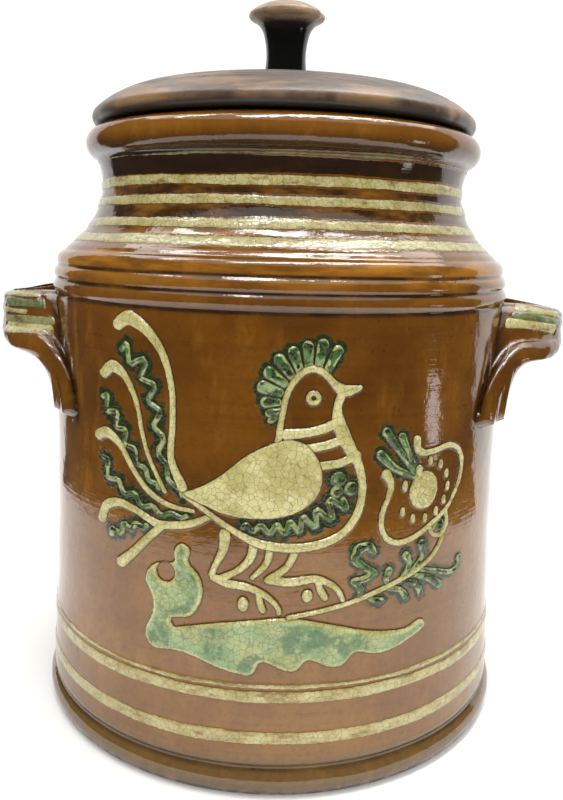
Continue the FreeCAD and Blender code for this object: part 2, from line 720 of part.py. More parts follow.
def flower_dots():
    """Set the flower's dots on an oval round its middle."""
    middle_x, middle_z = FLOWER_MIDDLE[:2]
    dots = [disc(*dot) for dot in FLOWER_EXTRA_DOTS]
    for dot in range(FLOWER_DOTS["count"]):
        part = dot / (FLOWER_DOTS["count"] - 1)
        turn_by = FLOWER_DOTS["last_angle"] - FLOWER_DOTS["first_angle"]
        angle = math.radians(FLOWER_DOTS["first_angle"] + part * turn_by)
        x = middle_x + FLOWER_DOTS["across"] * math.cos(angle)
        z = middle_z + FLOWER_DOTS["up"] * math.sin(angle)
        dots.append(disc(x, z, FLOWER_DOTS["half_width"], FLOWER_DOTS["half_height"]))
    return dots


def picture_faces():
    """Draw each part of the picture flat, in the order in which it keeps its ground."""
    eye_x, eye_z, eye_radius = EYE
    return {
        "bird_body": [patch(BIRD_BODY)],
        "bird_neck_and_head": strokes(NECK_AND_HEAD),
        "bird_eye": [disc(eye_x, eye_z, eye_radius, eye_radius)],
        "bird_crest": strokes(crest_lines()),
        "bird_tail_plumes": strokes(PLUMES),
        "bird_tail_strands": [wavy_stroke(*strand) for strand in TAIL_STRANDS],
        "bird_wing": [wavy_stroke(*WING_STRAND)] + [disc(x, z, r, r) for x, z, r in WING_TIP],
        "bird_legs": strokes(LEGS) + [disc(*dot) for dot in LEG_DOTS],
        "flower_rim": strokes(FLOWER_RIM + [SEED_POD]),
        "flower_middle": [disc(*FLOWER_MIDDLE), disc(*FLOWER_BUD)] + flower_dots(),
        "flower_sepals": strokes(SEPALS),
        "flower_seed": [disc(*SEED)],
        "flower_stem": strokes(STEM),
        "stem_leaflets": strokes(LEAFLETS),
        "stem_tendril": strokes(TENDRIL),
        "ground_leaf": [patch(GROUND_LEAF)],
    }


def slip_skin(crock_form):
    """Make the thin skin on the wall that the picture is cut from."""
    relief = size("slip_relief")
    edge = [FreeCAD.Vector(wall_radius(z) + relief, 0, z) for z in (48.0, 120.0, 198.6)]
    corner = FreeCAD.Vector(edge[-1].x, 0, 201.0)
    top = FreeCAD.Vector(0, 0, 201.0)
    foot = FreeCAD.Vector(0, 0, 48.0)
    lines = [
        Part.makeLine(foot, edge[0]), Part.Arc(*edge).toShape(), Part.makeLine(edge[-1], corner),
        Part.makeLine(corner, top), Part.makeLine(top, foot),
    ]
    section = Part.Face(Part.Wire(lines))
    full = section.revolve(FreeCAD.Vector(), FreeCAD.Vector(0, 0, 1), 360)
    return full.cut(crock_form.Shape)


def make_picture(crock_form):
    """Cut each part of the picture from the skin, without overlaps between the parts."""
    skin = slip_skin(crock_form)
    depth = FreeCAD.Vector(0, -2 * size("picture_radius"), 0)
    taken = []
    nodes = {}
    for name, faces in picture_faces().items():
        flat = join(faces)
        neighbours = [shape for shape in taken if shape.BoundBox.intersect(flat.BoundBox)]
        if neighbours:
            flat = flat.cut(neighbours)
        taken.append(flat)
        raised = flat.extrude(depth).common(skin)
        node = doc.addObject("Part::Feature", name)
        node.Shape = Part.makeCompound([solid for solid in raised.Solids if solid.Volume > 1.0])
        nodes[name] = node
    return nodes


def check_document():
    """Stop if any object of the document failed."""
    for item in doc.Objects:
        for word in ("Invalid", "Error"):
            if word in item.State:
                raise RuntimeError(item.Name + " is " + word)


def export(nodes):
    """Label each sub-part, test its shape, and write it to its own file."""
    os.makedirs("parts", exist_ok=True)
    check_document()
    for name, item in nodes.items():
        item.Label = name
        shape = item.Shape
        if shape.isNull() or not shape.isValid():
            raise RuntimeError(name + " has no valid shape")
    for name, item in nodes.items():
        item.Shape.exportStep("parts/%s.step" % name)
        print("%-24s %2d solid(s) %10.0f mm3" % (name, len(item.Shape.Solids), item.Shape.Volume))


def build():
    """Build the crock from its sheet of sizes."""
    fill_sheet()
    nodes = {}
    crock_form = turned_body("crock_form", CROCK_OUTLINE)
    nodes["crock_body"] = make_crock()
    arch = make_arch_tool("handle_arch")
    nodes["left_handle"] = make_handle("left_handle", -1, arch, crock_form)
    nodes["right_handle"] = make_handle("right_handle", 1, arch, crock_form)
    nodes["left_handle_stripes"] = make_stripes("left_handle_stripes", -1)
    nodes["right_handle_stripes"] = make_stripes("right_handle_stripes", 1)
    nodes["lid_knob"] = turned_body("lid_knob", KNOB_OUTLINE)
    nodes["lid"] = make_lid(nodes["lid_knob"])
    for name, foot, width in SLIP_BANDS:
        nodes[name] = make_slip_band(name, crock_form)
    nodes.update(make_picture(crock_form))
    doc.recompute()
    export(nodes)


build()
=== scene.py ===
"""A lidded, slip-trailed redware butter crock: its looks, built around the CAD model.

Lengths are metres. The pot's axis is Z, its picture faces -Y, and its handles stand out along X.
"""
import math

import bpy
import numpy as np
from mathutils import Matrix, Vector


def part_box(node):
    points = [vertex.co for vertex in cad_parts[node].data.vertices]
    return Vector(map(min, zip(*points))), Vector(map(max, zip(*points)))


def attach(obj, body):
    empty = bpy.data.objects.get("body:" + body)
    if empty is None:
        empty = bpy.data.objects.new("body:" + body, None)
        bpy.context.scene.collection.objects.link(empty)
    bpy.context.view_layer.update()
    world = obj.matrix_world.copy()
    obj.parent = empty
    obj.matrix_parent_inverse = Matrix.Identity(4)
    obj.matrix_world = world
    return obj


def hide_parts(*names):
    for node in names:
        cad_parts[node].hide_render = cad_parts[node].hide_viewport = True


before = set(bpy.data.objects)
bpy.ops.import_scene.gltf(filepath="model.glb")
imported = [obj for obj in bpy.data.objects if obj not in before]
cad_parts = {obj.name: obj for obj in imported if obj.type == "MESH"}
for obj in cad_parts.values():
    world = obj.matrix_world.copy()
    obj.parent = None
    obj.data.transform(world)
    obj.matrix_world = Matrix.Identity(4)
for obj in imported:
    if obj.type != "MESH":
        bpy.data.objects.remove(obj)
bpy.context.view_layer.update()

MM = 0.001
FULL_TURN = 2 * math.pi

# Turned shapes: the spacing of points along a profile, and how many segments each has around.
PROFILE_STEP = 0.5 * MM
BODY_SEGMENTS = 360
LID_SEGMENTS = 300
KNOB_SEGMENTS = 160
BAND_SEGMENTS = 620

# Which of the pot's profile points are kept: every so many below each height, and inside the rim.
PROFILE_STRIDES = ((18 * MM, 2), (199 * MM, 8), (226 * MM, 1), (261 * MM, 3), (math.inf, 2))
INSIDE_STRIDE = 14
RIM_POINTS = 16
# The rings of the bare underside, and those of the floor inside as parts of its radius.
UNDERSIDE_RADII = (0, 25 * MM, 50 * MM, 75 * MM, 95 * MM, 108 * MM, 113 * MM)
FLOOR_PARTS = (0.75, 0.5, 0.25, 0.0)

# Trailed slip: its height, how far in its edge is rounded, and the share of its height that a band
# or stripe has.
SLIP_HEIGHT = 1.35 * MM
SLIP_ROUNDING = 1.7 * MM
BAND_HEIGHT = 0.34
# The glaze pooled round slip: its height and width, its width where green bled into it, and how
# many widths the mesh reaches out.
POOL_HEIGHT = 0.07 * MM
POOL_WIDTH = 0.8 * MM
STAIN_WIDTH = 2.3 * MM
WIDE_STAIN_WIDTH = 3.4 * MM
POOL_REACH = 1.2
PICTURE_CELL = 0.35 * MM
BAND_ROWS = 19

CREAM_PIECES = (
    "bird_body", "bird_neck_and_head", "bird_tail_plumes", "bird_legs",
    "flower_rim", "flower_middle", "flower_stem",
)
GREEN_PIECES = (
    "bird_crest", "bird_tail_strands", "bird_wing", "flower_sepals", "flower_seed",
    "stem_leaflets", "stem_tendril",
)
CREAM_BANDS = ["foot_slip_band_lower", "foot_slip_band_upper", "foot_slip_line"]
CREAM_BANDS += ["neck_slip_band_%d" % number for number in range(1, 5)]


# Reading the CAD pieces ----------------------------------

def mesh_points(mesh):
    """Read a mesh's points."""
    points = np.empty(len(mesh.vertices) * 3)
    mesh.vertices.foreach_get("co", points)
    return points.reshape(-1, 3)


def mesh_triangles(mesh):
    """Read a mesh's triangles, as point numbers."""
    mesh.calc_loop_triangles()
    corners = np.empty(len(mesh.loop_triangles) * 3, int)
    mesh.loop_triangles.foreach_get("vertices", corners)
    return corners.reshape(-1, 3)


def meridian(name):
    """Follow a turned piece's profile along its seam, upwards from its underside: radius, height."""
    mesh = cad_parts[name].data
    points = mesh_points(mesh)
    on_seam = (abs(points[:, 1]) < 1e-6) & (points[:, 0] > 0)
    links = {}
    for edge in mesh.edges:
        if on_seam[edge.vertices[0]] and on_seam[edge.vertices[1]]:
            start, end = [tuple(np.round(points[index][[0, 2]], 6)) for index in edge.vertices]
            if start != end:
                links.setdefault(start, set()).add(end)
                links.setdefault(end, set()).add(start)
    ends = [place for place in links if len(links[place]) == 1]
    chain = [min(ends, key=lambda place: place[1])]
    while True:
        onward = [place for place in links[chain[-1]] if place not in chain[-2:]]
        if not onward:
            return np.array(chain)
        chain.append(onward[0])


def resample(chain, step, passes):
    """Space a profile's points evenly, and round its corners a little."""
    reach = np.concatenate([[0], np.cumsum(np.hypot(*np.diff(chain, axis=0).T))])
    along = np.linspace(0, reach[-1], int(reach[-1] / step) + 1)
    line = np.column_stack([np.interp(along, reach, chain[:, axis]) for axis in (0, 1)])
    return soften(line, passes)


def soften(values, passes):
    """Average values with their neighbours, as often as passes says."""
    result = values.copy()
    for _ in range(passes):
        result[1:-1] = (result[:-2] + 2 * result[1:-1] + result[2:]) / 4
    return result


# Building meshes -----------------------------------------

def new_piece(name, points, faces, values=None):
    """Make a smooth mesh piece, with named values at its points."""
    mesh = bpy.data.meshes.new(name)
    mesh.from_pydata(np.asarray(points).tolist(), [], faces)
    for word, numbers in (values or {}).items():
        attribute = mesh.attributes.new(word, "FLOAT", "POINT")
        attribute.data.foreach_set("value", np.asarray(numbers, np.float32).ravel())
    mesh.shade_smooth()
    piece = bpy.data.objects.new(name, mesh)
    bpy.context.scene.collection.objects.link(piece)
    return piece


def place_piece(piece, body, material, replaced):
    """Give a piece its material, its body and the CAD piece that it stands for."""
    piece.data.materials.append(material)
    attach(piece, body)
    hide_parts(replaced)


def around(radius, angle, height):
    """Turn a radius, an angle from the front towards +X, and a height into points."""
    return np.stack([radius * np.sin(angle), -radius * np.cos(angle), height + 0 * radius], axis=-1)


def grid_faces(rows, columns, closed_columns=True):
    """Number the four-sided faces of a grid of points."""
    faces = []
    for row in range(rows - 1):
        above = row + 1
        for column in range(columns if closed_columns else columns - 1):
            beside = (column + 1) % columns
            faces.append((
                row * columns + column, row * columns + beside,
                above * columns + beside, above * columns + column,
            ))
    return faces


def lathe(name, profile, segments, shift=None, values=None):
    """Turn a profile that starts and ends on the axis. Values are one number per profile point."""
    angle = np.linspace(0, FULL_TURN, segments, endpoint=False)
    rings = profile[1:-1]
    radius = np.repeat(rings[:, :1], segments, axis=1)
    height = np.repeat(rings[:, 1:], segments, axis=1)
    if shift:
        radius = radius + shift(angle[None, :], height, radius)
    points = around(radius, angle[None, :], height).reshape(-1, 3)
    count = len(rings)
    faces = grid_faces(count, segments)
    first_centre, last_centre = count * segments, count * segments + 1
    last_ring = (count - 1) * segments
    for column in range(segments):
        beside = (column + 1) % segments
        faces.append((beside, column, first_centre))
        faces.append((last_ring + column, last_ring + beside, last_centre))
    points = np.vstack([points, [0, 0, profile[0][1]], [0, 0, profile[-1][1]]])
    spread = {}
    for word, numbers in (values or {}).items():
        per_point = np.repeat(numbers[1:-1], segments)
        spread[word] = np.concatenate([per_point, [numbers[0], numbers[-1]]])
    return new_piece(name, points, faces, spread)


# The pot -------------------------------------------------

def wobble(angle, height):
    """Tell how far the hand-thrown wall stands out from a true circle."""
    egg = 0.30 * np.sin(2 * angle + 0.6) + 0.16 * np.sin(3 * angle + 2.1 + 14 * height)
    throwing = 0.10 * np.sin(FULL_TURN * height / (34 * MM) + 0.8 * np.sin(angle))
    return MM * (egg + throwing)


def pot_profile():
    """Take the pot's profile from the CAD, dense where it is detailed."""
    line = resample(meridian("crock_body"), PROFILE_STEP, 5)
    rim = int(line[:, 1].argmax())
    kept = []
    for index, (_, height) in enumerate(line):
        stride = INSIDE_STRIDE
        if index <= rim + RIM_POINTS:
            stride = next(stride for level, stride in PROFILE_STRIDES if height < level)
        if index % stride == 0 or index in (rim, len(line) - 1):
            kept.append(index)
    outside = sum(1 for index in kept if index <= rim)
    return line[kept], outside


POT_LINE, OUTSIDE_COUNT = pot_profile()
OUTSIDE = POT_LINE[:OUTSIDE_COUNT]
WALL_ORDER = np.argsort(OUTSIDE[:, 1], kind="stable")


def plain_wall(height):
    """Give the radius of the pot's outside as the CAD has it."""
    return np.interp(height, OUTSIDE[WALL_ORDER, 1], OUTSIDE[WALL_ORDER, 0])


def wall(angle, height):
    """Give the radius of the pot's outside, with its wobble."""
    return plain_wall(height) + wobble(angle, height)


def recess_of(line):
    """Tell how far each point of a profile lies in a groove (above 0) or on a crest (below 0): the
    strength of the glaze's painted shade in grooves and painted highlight on crests.
    """
    radius = line[:, 0]
    depth = soften(radius, 40) - radius
    # The painted shade and highlight are weaker on the foot, below 24 mm.
    return np.clip(depth / (0.5 * MM), -1, 1) * np.where(line[:, 1] < 24 * MM, 0.45, 1.0)


def make_pot(material):
    """Turn the pot: outside, rim, inside, floor and the bare underside."""
    underside = np.array([(radius, 0) for radius in UNDERSIDE_RADII])
    floor_radius, floor_height = POT_LINE[-1]
    floor = np.array([(floor_radius * part, floor_height) for part in FLOOR_PARTS])
    profile = np.vstack([underside, POT_LINE, floor])
    relief_shading = np.concatenate([0 * underside[:, 0], recess_of(POT_LINE), 0 * floor[:, 0]])
    bare = np.zeros(len(profile))
    bare[:len(underside)] = 1
    inside = np.zeros(len(profile))
    inside[len(underside) + OUTSIDE_COUNT + 4:] = 1
    edge = OUTSIDE[:, 0].max()
    piece = lathe(
        "crock_body_glazed", profile, BODY_SEGMENTS,
        lambda angle, height, radius: wobble(angle, height) * radius / edge,
        {"relief_shading": relief_shading, "bare": bare, "inside_pot": inside},
    )
    paint_root_shade(piece)
    place_piece(piece, "crock", material, "crock_body")


def paint_root_shade(piece):
    """Add painted shade to the wall where it meets the handles' roots."""
    mesh = piece.data
    x, y, height = mesh_points(mesh).T
    radius = np.hypot(x, y)
    root_shade = root_shade_strength(np.arctan2(x, -y), height, radius) * (radius > 109 * MM)
    relief_shading = np.empty(len(mesh.vertices), np.float32)
    mesh.attributes["relief_shading"].data.foreach_get("value", relief_shading)
    mesh.attributes["relief_shading"].data.foreach_set("value", np.maximum(relief_shading, root_shade).astype(np.float32))


# Trailed slip --------------------------------------------

def slip_height(inside, share=1.0, pool_width=POOL_WIDTH):
    """Give slip's height above the wall at a distance inside its outline."""
    part = np.clip(inside / SLIP_ROUNDING, 0, 1)
    dome = share * SLIP_HEIGHT * np.sqrt(1 - (1 - part) ** 2)
    pool = POOL_HEIGHT * (1 - (np.minimum(inside, 0) / pool_width) ** 2)
    return np.where(inside > 0, np.maximum(dome, POOL_HEIGHT), pool)


def uneven(across, height, scale):
    """Give a smooth unevenness of about -1 to 1, from crossing waves."""
    u, v = across / scale, height / scale
    return (
        np.sin(1.7 * u + 2.3 * v + 0.7) + np.sin(-2.9 * u + 1.3 * v + 2.1)
        + np.sin(3.7 * u + 4.1 * v + 4.4) * 0.6 + np.sin(5.3 * u - 4.7 * v + 1.2) * 0.4
    ) / 3.0


def raised_face(name, radius):
    """Read a picture piece's raised face, unrolled flat: its places, and its triangles."""
    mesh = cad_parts[name].data
    points = mesh_points(mesh)
    triangles = mesh_triangles(mesh)
    proud = np.hypot(points[:, 0], points[:, 1]) - plain_wall(points[:, 2])
    face = triangles[(proud[triangles] > 0.5 * MM).all(axis=1)]
    places = np.column_stack([radius * np.arctan2(points[:, 0], -points[:, 1]), points[:, 2]])
    return places, face


def outline_of(places, face):
    """Find the outline of a flat triangulated face, as segments (start, end)."""
    _, merged = np.unique(np.round(places / 2e-6).astype(int), axis=0, return_inverse=True)
    merged = merged.ravel()
    count = {}
    for triangle in face:
        for start, end in ((0, 1), (1, 2), (2, 0)):
            pair = triangle[start], triangle[end]
            key = tuple(sorted((merged[pair[0]], merged[pair[1]])))
            count.setdefault(key, []).append(pair)
    edges = np.array([pairs[0] for pairs in count.values() if len(pairs) == 1])
    return places[edges[:, 0]], places[edges[:, 1]]


def distance_to_outline(across, height, starts, ends, reach):
    """Measure from each grid point to the nearest outline segment, up to a reach."""
    result = np.full((len(height), len(across)), reach)
    tile = 20
    low, high = np.minimum(starts, ends), np.maximum(starts, ends)
    for row in range(0, len(height), tile):
        for column in range(0, len(across), tile):
            u = across[column:column + tile]
            v = height[row:row + tile]
            near = (
                (low[:, 0] < u[-1] + reach) & (high[:, 0] > u[0] - reach)
                & (low[:, 1] < v[-1] + reach) & (high[:, 1] > v[0] - reach)
            )
            if not near.any():
                continue
            start, span = starts[near], (ends - starts)[near]
            du = u[None, :, None] - start[:, 0]
            dv = v[:, None, None] - start[:, 1]
            length = (span ** 2).sum(axis=1) + 1e-18
            part = np.clip((du * span[:, 0] + dv * span[:, 1]) / length, 0, 1)
            gap = np.hypot(du - part * span[:, 0], dv - part * span[:, 1]).min(axis=2)
            block = result[row:row + tile, column:column + tile]
            np.minimum(block, gap, out=block)
    return result


def covered_by(across, height, places, face):
    """Tell which grid points lie on a flat triangulated face."""
    result = np.zeros((len(height), len(across)), bool)
    for corners in places[face]:
        low, high = corners.min(axis=0), corners.max(axis=0)
        left, right = np.searchsorted(across, (low[0], high[0]))
        bottom, top = np.searchsorted(height, (low[1], high[1]))
        if left == right or bottom == top:
            continue
        u, v = np.meshgrid(across[left:right], height[bottom:top])
        sides = [
            (end[0] - start[0]) * (v - start[1]) - (end[1] - start[1]) * (u - start[0])
            for start, end in zip(corners, np.roll(corners, -1, axis=0))
        ]
        within = (np.minimum.reduce(sides) >= 0) | (np.maximum.reduce(sides) <= 0)
        result[bottom:top, left:right] |= within
    return result


def relief_piece(name, material, pool_width=POOL_WIDTH, holes=()):
    """Raise a picture piece from the wall as trailed slip, with glaze pooled round it.

    Each hole is a place, as shares of the piece's width and height, and a radius.
    """
    radius = wall(0, 0.13)
    places, face = raised_face(name, radius)
    starts, ends = outline_of(places, face)
    margin = 1.5 * pool_width
    reach = 4 * MM
    low = np.minimum(starts, ends).min(axis=0) - margin
    high = np.maximum(starts, ends).max(axis=0) + margin
    across = np.arange(low[0], high[0], PICTURE_CELL)
    height = np.arange(low[1], high[1], PICTURE_CELL)
    gap = distance_to_outline(across, height, starts, ends, reach)
    inside = np.where(covered_by(across, height, places, face), gap, -gap)
    u, v = np.meshgrid(across, height)
    for part_across, part_up, size in holes:
        middle = low + (high - low) * (part_across, part_up)
        inside = np.minimum(inside, np.hypot(u - middle[0], v - middle[1]) - size)
    inside = inside + 0.10 * MM * uneven(u, v, 1.3 * MM) * (abs(inside) < 2 * MM)
    angle = u / radius
    thick = slip_height(inside, 1.0, pool_width) * (1 + 0.14 * uneven(u, v, 3.1 * MM) * (inside > 0))
    points = around(wall(angle, v) + thick, angle, v).reshape(-1, 3)
    kept = np.maximum.reduce([
        inside[:-1, :-1], inside[1:, :-1], inside[:-1, 1:], inside[1:, 1:],
    ]) > -POOL_REACH * pool_width
    rows, columns = np.nonzero(kept)
    width = len(across)
    corner = rows * width + columns
    quads = np.column_stack([corner, corner + 1, corner + width + 1, corner + width])
    used, quads = np.unique(quads, return_inverse=True)
    quads = quads.reshape(-1, 4)
    shown = np.where(inside > 0, inside, inside * STAIN_WIDTH / max(pool_width, STAIN_WIDTH))
    piece = new_piece(
        name + "_slip", points[used], quads.tolist(),
        {"inside": shown.ravel()[used] / MM},
    )
    place_piece(piece, "crock", material, name)


def band_piece(name, material, number, green=0.0, spill=0.1 * MM):
    """Trail a slip band round the pot, with wavering edges that spill past the CAD piece's."""
    low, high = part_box(name)
    angle = np.linspace(0, FULL_TURN, BAND_SEGMENTS, endpoint=False)[None, :]
    around_wall = angle * high.x
    lower = low.z - spill + 0.3 * MM * waver(angle, number)
    lower = lower + 0.2 * MM * uneven(around_wall, number, 2 * MM)
    upper = high.z + spill + 0.3 * MM * waver(angle, number + 0.5)
    upper = upper + 0.2 * MM * uneven(around_wall, -number, 2 * MM)
    part = np.linspace(0, 1, BAND_ROWS)[:, None]
    beyond = POOL_REACH * POOL_WIDTH
    height = lower - beyond + (upper - lower + 2 * beyond) * part
    inside = np.minimum(height - lower, upper - height)
    swell = 1 + 0.2 * uneven(around_wall, height, 5 * MM) * (inside > 0)
    thick = slip_height(inside, BAND_HEIGHT) * swell
    points = around(wall(angle, height) + thick, angle, height).reshape(-1, 3)
    piece = new_piece(
        name + "_slip", points, grid_faces(len(part), BAND_SEGMENTS),
        {"inside": inside / MM, "green": np.full(inside.shape, green)},
    )
    place_piece(piece, "crock", material, name)


def waver(angle, number):
    """Give a slow waver round the pot that closes on itself."""
    return (
        np.sin(3 * angle + 1.7 * number) + np.sin(7 * angle + 2.9 * number + 1)
        + 0.7 * np.sin(13 * angle + 4.1 * number + 2) + 0.5 * np.sin(29 * angle + number)
    ) / 2


# Handles -------------------------------------------------

STRAP = {
    "centre": 78 * MM, "thickness": 8.5 * MM, "width": 27.5 * MM, "round": 4.4 * MM,
    "half_at_top": 40 * MM, "half_at_root": 70 * MM, "buried_radius": 107 * MM, "run": 80 * MM,
}
# The lower edges of each strap's outer and inner faces, left (-1) and right (1): where each starts
# and stops dropping to the root, as shares of the way from the outermost line to the wall, the
# powers that shape its two bends, and how far it starts above the strap's even underside.
OUTER_EDGE = {-1: (0.70, 0.862, 3.8, 2.0, 1.6 * MM), 1: (0.70, 0.845, 3.4, 2.0, 2.6 * MM)}
INNER_EDGE = {-1: (0.50, 0.809, 2.9, 2.6, -1.8 * MM), 1: (0.565, 0.782, 3.6, 2.0, 1.0 * MM)}
# The roll along the outer face's lower edge, and the hollow above it: middle, half width, height.
ROLL = (4.0 * MM, 4.2 * MM, 1.9 * MM)
HOLLOW = (10.5 * MM, 3.6 * MM, 1.7 * MM)
FACE_INSET = 1.9 * MM
# How much higher the stripes run at a strap's roots than at its outermost line.
STRIPE_SLOPE = {-1: 0.0, 1: 4.0 * MM}
# How far the stripes lie above the CAD ones, and how far each strap sags at its outermost line.
STRIPE_LIFT = {-1: 3.0 * MM, 1: 1.5 * MM}
SAG = {-1: 2.5 * MM, 1: 4.0 * MM}
# Points in the meshes: sections along a strap and along its stripes, points across a stripe, and
# points down each of a section's four faces.
STRAP_SECTIONS = 320
STRIPE_SECTIONS = 130
STRIPE_ROWS = 15
OUTSIDE_ROWS, UNDERNEATH_ROWS, INSIDE_ROWS, CROWN_ROWS = 64, 11, 16, 10
# The part of a strap's length over which a stripe's end is rounded.
STRIPE_END = 2.2 / 84


def strap_sizes(side):
    """Read one handle's size from its CAD piece: its side, reach, top and bottom."""
    low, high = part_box("right_handle" if side > 0 else "left_handle")
    far = high.x if side > 0 else -low.x
    return side, far - STRAP["centre"], high.z, low.z


def strap_angle(share, inset, height, sizes, radius=STRAP["buried_radius"]):
    """Turn a share of the way from the outermost line to the wall into an angle round the strap."""
    a, b = sizes[1] - inset, half_width(height, sizes) - inset
    linear = 2 * STRAP["centre"] * a
    rest = STRAP["centre"] ** 2 + b ** 2 - radius ** 2
    cosine = -2 * rest / (linear + np.sqrt(linear ** 2 - 4 * (a ** 2 - b ** 2) * rest))
    return share * np.arccos(np.clip(cosine, -1, 1))


def half_width(height, sizes):
    """Give the strap's half width along Y, which grows towards its roots."""
    _, _, top, bottom = sizes
    part = np.clip((top - height) / (top - bottom), 0, 1)
    return STRAP["half_at_top"] + (STRAP["half_at_root"] - STRAP["half_at_top"]) * (1 - (1 - part) ** 2)


def strap_points(share, inset, height, sizes):
    """Place points of a strap in the model."""
    side, reach, top, _ = sizes
    angle = strap_angle(share, inset, height, sizes)
    x = side * (STRAP["centre"] + (reach - inset) * np.cos(angle))
    y = (half_width(height, sizes) - inset) * np.sin(angle)
    upper = np.clip((height - (top - STRAP["width"])) / STRAP["width"], 0, 1)
    sag = SAG[side] * np.cos(angle) ** 4 * upper
    return np.stack([x, y, height - sag], axis=-1)


def lower_edge(share, edge, sizes):
    """Give the height of a face's lower edge: even, then dropping to the root in a rounded bend."""
    start, stop, power, root_power, lift = edge[sizes[0]]
    under = sizes[2] - STRAP["width"] + lift
    part = np.clip((abs(share) - start) / (stop - start), 0, 1)
    corner = 3.0 * MM * np.clip((1 - abs(share)) / (1 - stop), 0, 1) ** 1.5
    foot = sizes[3] + corner
    return foot + (under - foot) * (1 - part ** power) ** (1 / root_power)


def edge_gap(share, height, sizes):
    """Measure how far places on the strap's outer face lie from its lower edge."""
    path_share = np.linspace(0, 1, 400)
    path = np.column_stack([path_share * STRAP["run"], lower_edge(path_share, OUTER_EDGE, sizes)])
    path = resample(path, 1.0 * MM, 0)
    along = np.asarray(abs(share) * STRAP["run"])[..., None] - path[:, 0]
    up = np.asarray(height)[..., None] - path[:, 1]
    return np.hypot(along, up).min(axis=-1)


def rounding(gap, radius):
    """Tell how far a rounded edge stands back at a distance from the edge."""
    near = np.clip(1 - gap / radius, 0, 1)
    return radius * (1 - np.sqrt(1 - near ** 2))


def outer_inset(share, height, sizes):
    """Tell how far the strap's outer face stands back: a band, a hollow, and a roll at its edge.

    The roll and the hollow fade out round the strap's outermost part, which is plainly rounded.
    """
    gap = edge_gap(share, height, sizes)
    middle, half, rise = ROLL
    roll = rise * np.sqrt(np.clip(1 - ((gap - middle) / half) ** 2, 0, 1))
    middle, half, depth = HOLLOW
    hollow = depth * np.exp(-((gap - middle) / half) ** 2) * (0.5 + 1.5 * abs(share) ** 2)
    formed = np.clip((abs(share) - 0.12) / 0.33, 0, 1)
    plain = rounding(gap, 7.0 * MM)
    toe = rounding(gap, 4.0 * MM) * np.clip((abs(share) - 0.83) / 0.06, 0, 1)
    ripple = 0.25 * MM * (1 + uneven(share * STRAP["run"], height, 6 * MM))
    face = formed * (FACE_INSET - roll + hollow) + (1 - formed) * plain
    return face + toe + ripple + rounding(sizes[2] - height, STRAP["round"])


def strap_section(share, sizes):
    """List one section of the strap, round from its outer top edge: inset, height."""
    top = sizes[2]
    edge = lower_edge(share, OUTER_EDGE, sizes)
    inner_edge = lower_edge(share, INNER_EDGE, sizes)
    shoulder = top - STRAP["round"] * 0.6
    height = top + (edge - top) * np.linspace(0, 1, OUTSIDE_ROWS)
    inset = outer_inset(share, height, sizes)
    outside = np.column_stack([inset, height])
    part = np.linspace(0, 1, UNDERNEATH_ROWS)[1:]
    underneath = np.column_stack([
        inset[-1] + (STRAP["thickness"] - inset[-1]) * part,
        edge + (inner_edge - edge) * part - 0.7 * MM * np.sin(math.pi * part) ** 0.5,
    ])
    up = np.linspace(0, 1, INSIDE_ROWS)[1:]
    inside = np.column_stack([
        STRAP["thickness"] - 0.4 * MM * np.sin(math.pi * up), inner_edge + (shoulder - inner_edge) * up,
    ])
    over = np.linspace(0, 1, CROWN_ROWS)[1:-1]
    start = STRAP["thickness"]
    crown = np.column_stack([
        start + (inset[0] - start) * over,
        shoulder + (top - shoulder) * np.sin(math.pi / 2 * over) ** 0.7,
    ])
    return np.vstack([outside, underneath, inside, crown])


def make_handle(side, name, material):
    """Bend one strap handle."""
    sizes = strap_sizes(side)
    shares = np.linspace(-1, 1, STRAP_SECTIONS)
    sections = [strap_section(share, sizes) for share in shares]
    ring = len(sections[0])
    points = np.vstack([
        strap_points(share, section[:, 0], section[:, 1], sizes)
        for share, section in zip(shares, sections)
    ])
    faces = grid_faces(len(sections), ring)
    first = tuple(range(ring))
    last = tuple(range((len(sections) - 1) * ring, len(sections) * ring))
    faces += [first[::-1], last]
    if side > 0:
        faces = [face[::-1] for face in faces]
    # The strap's painted shade, darkest where it meets the wall.
    gap = np.hypot(points[:, 0], points[:, 1]) - wall(0, points[:, 2])
    pooled = np.exp(-np.maximum(gap, 0) / (2.0 * MM))
    values = {"relief_shading": pooled, "bare": 0 * gap, "inside_pot": 0 * gap}
    piece = new_piece(name + "_strap", points, faces, values)
    place_piece(piece, "crock", material, name)


def root_shade_strength(angle, height, radius):
    """Tell how near the wall's points lie to a handle's root: the strength of the painted shade there.
    """
    nearest = np.full(len(angle), radius.max())
    for side in (-1, 1):
        sizes = strap_sizes(side)
        level = np.clip(height, sizes[3], sizes[2])
        root = strap_angle(1.0, 0.0, level, sizes, radius=112 * MM)
        x = STRAP["centre"] + sizes[1] * np.cos(root)
        y = half_width(level, sizes) * np.sin(root)
        from_side = abs(angle_from(angle, side * math.pi / 2))
        across = abs(from_side - np.arctan2(y, x)) * radius
        nearest = np.minimum(nearest, np.hypot(across, 1.5 * abs(height - level)))
    return np.exp(-nearest / (2.6 * MM))


def angle_from(angle, place):
    """Give the shortest signed turn from a place to an angle."""
    return (angle - place + math.pi) % FULL_TURN - math.pi


# Each stripe, from the lowest: its half width, its ends as shares of the way to the wall, its colour.
LEFT_STRIPES = (
    (2.2, 0.34, 0.88, 0.0), (1.9, 0.30, 0.90, 0.6), (1.2, 0.0, 0.66, 0.05),
    (1.9, 0.32, 0.84, 1.0), (1.3, 0.0, 0.80, 0.1),
)
RIGHT_STRIPES = (
    (2.2, 0.36, 0.90, 0.0), (1.8, 0.0, 0.86, 1.0), (1.6, 0.0, 0.84, 0.1),
)


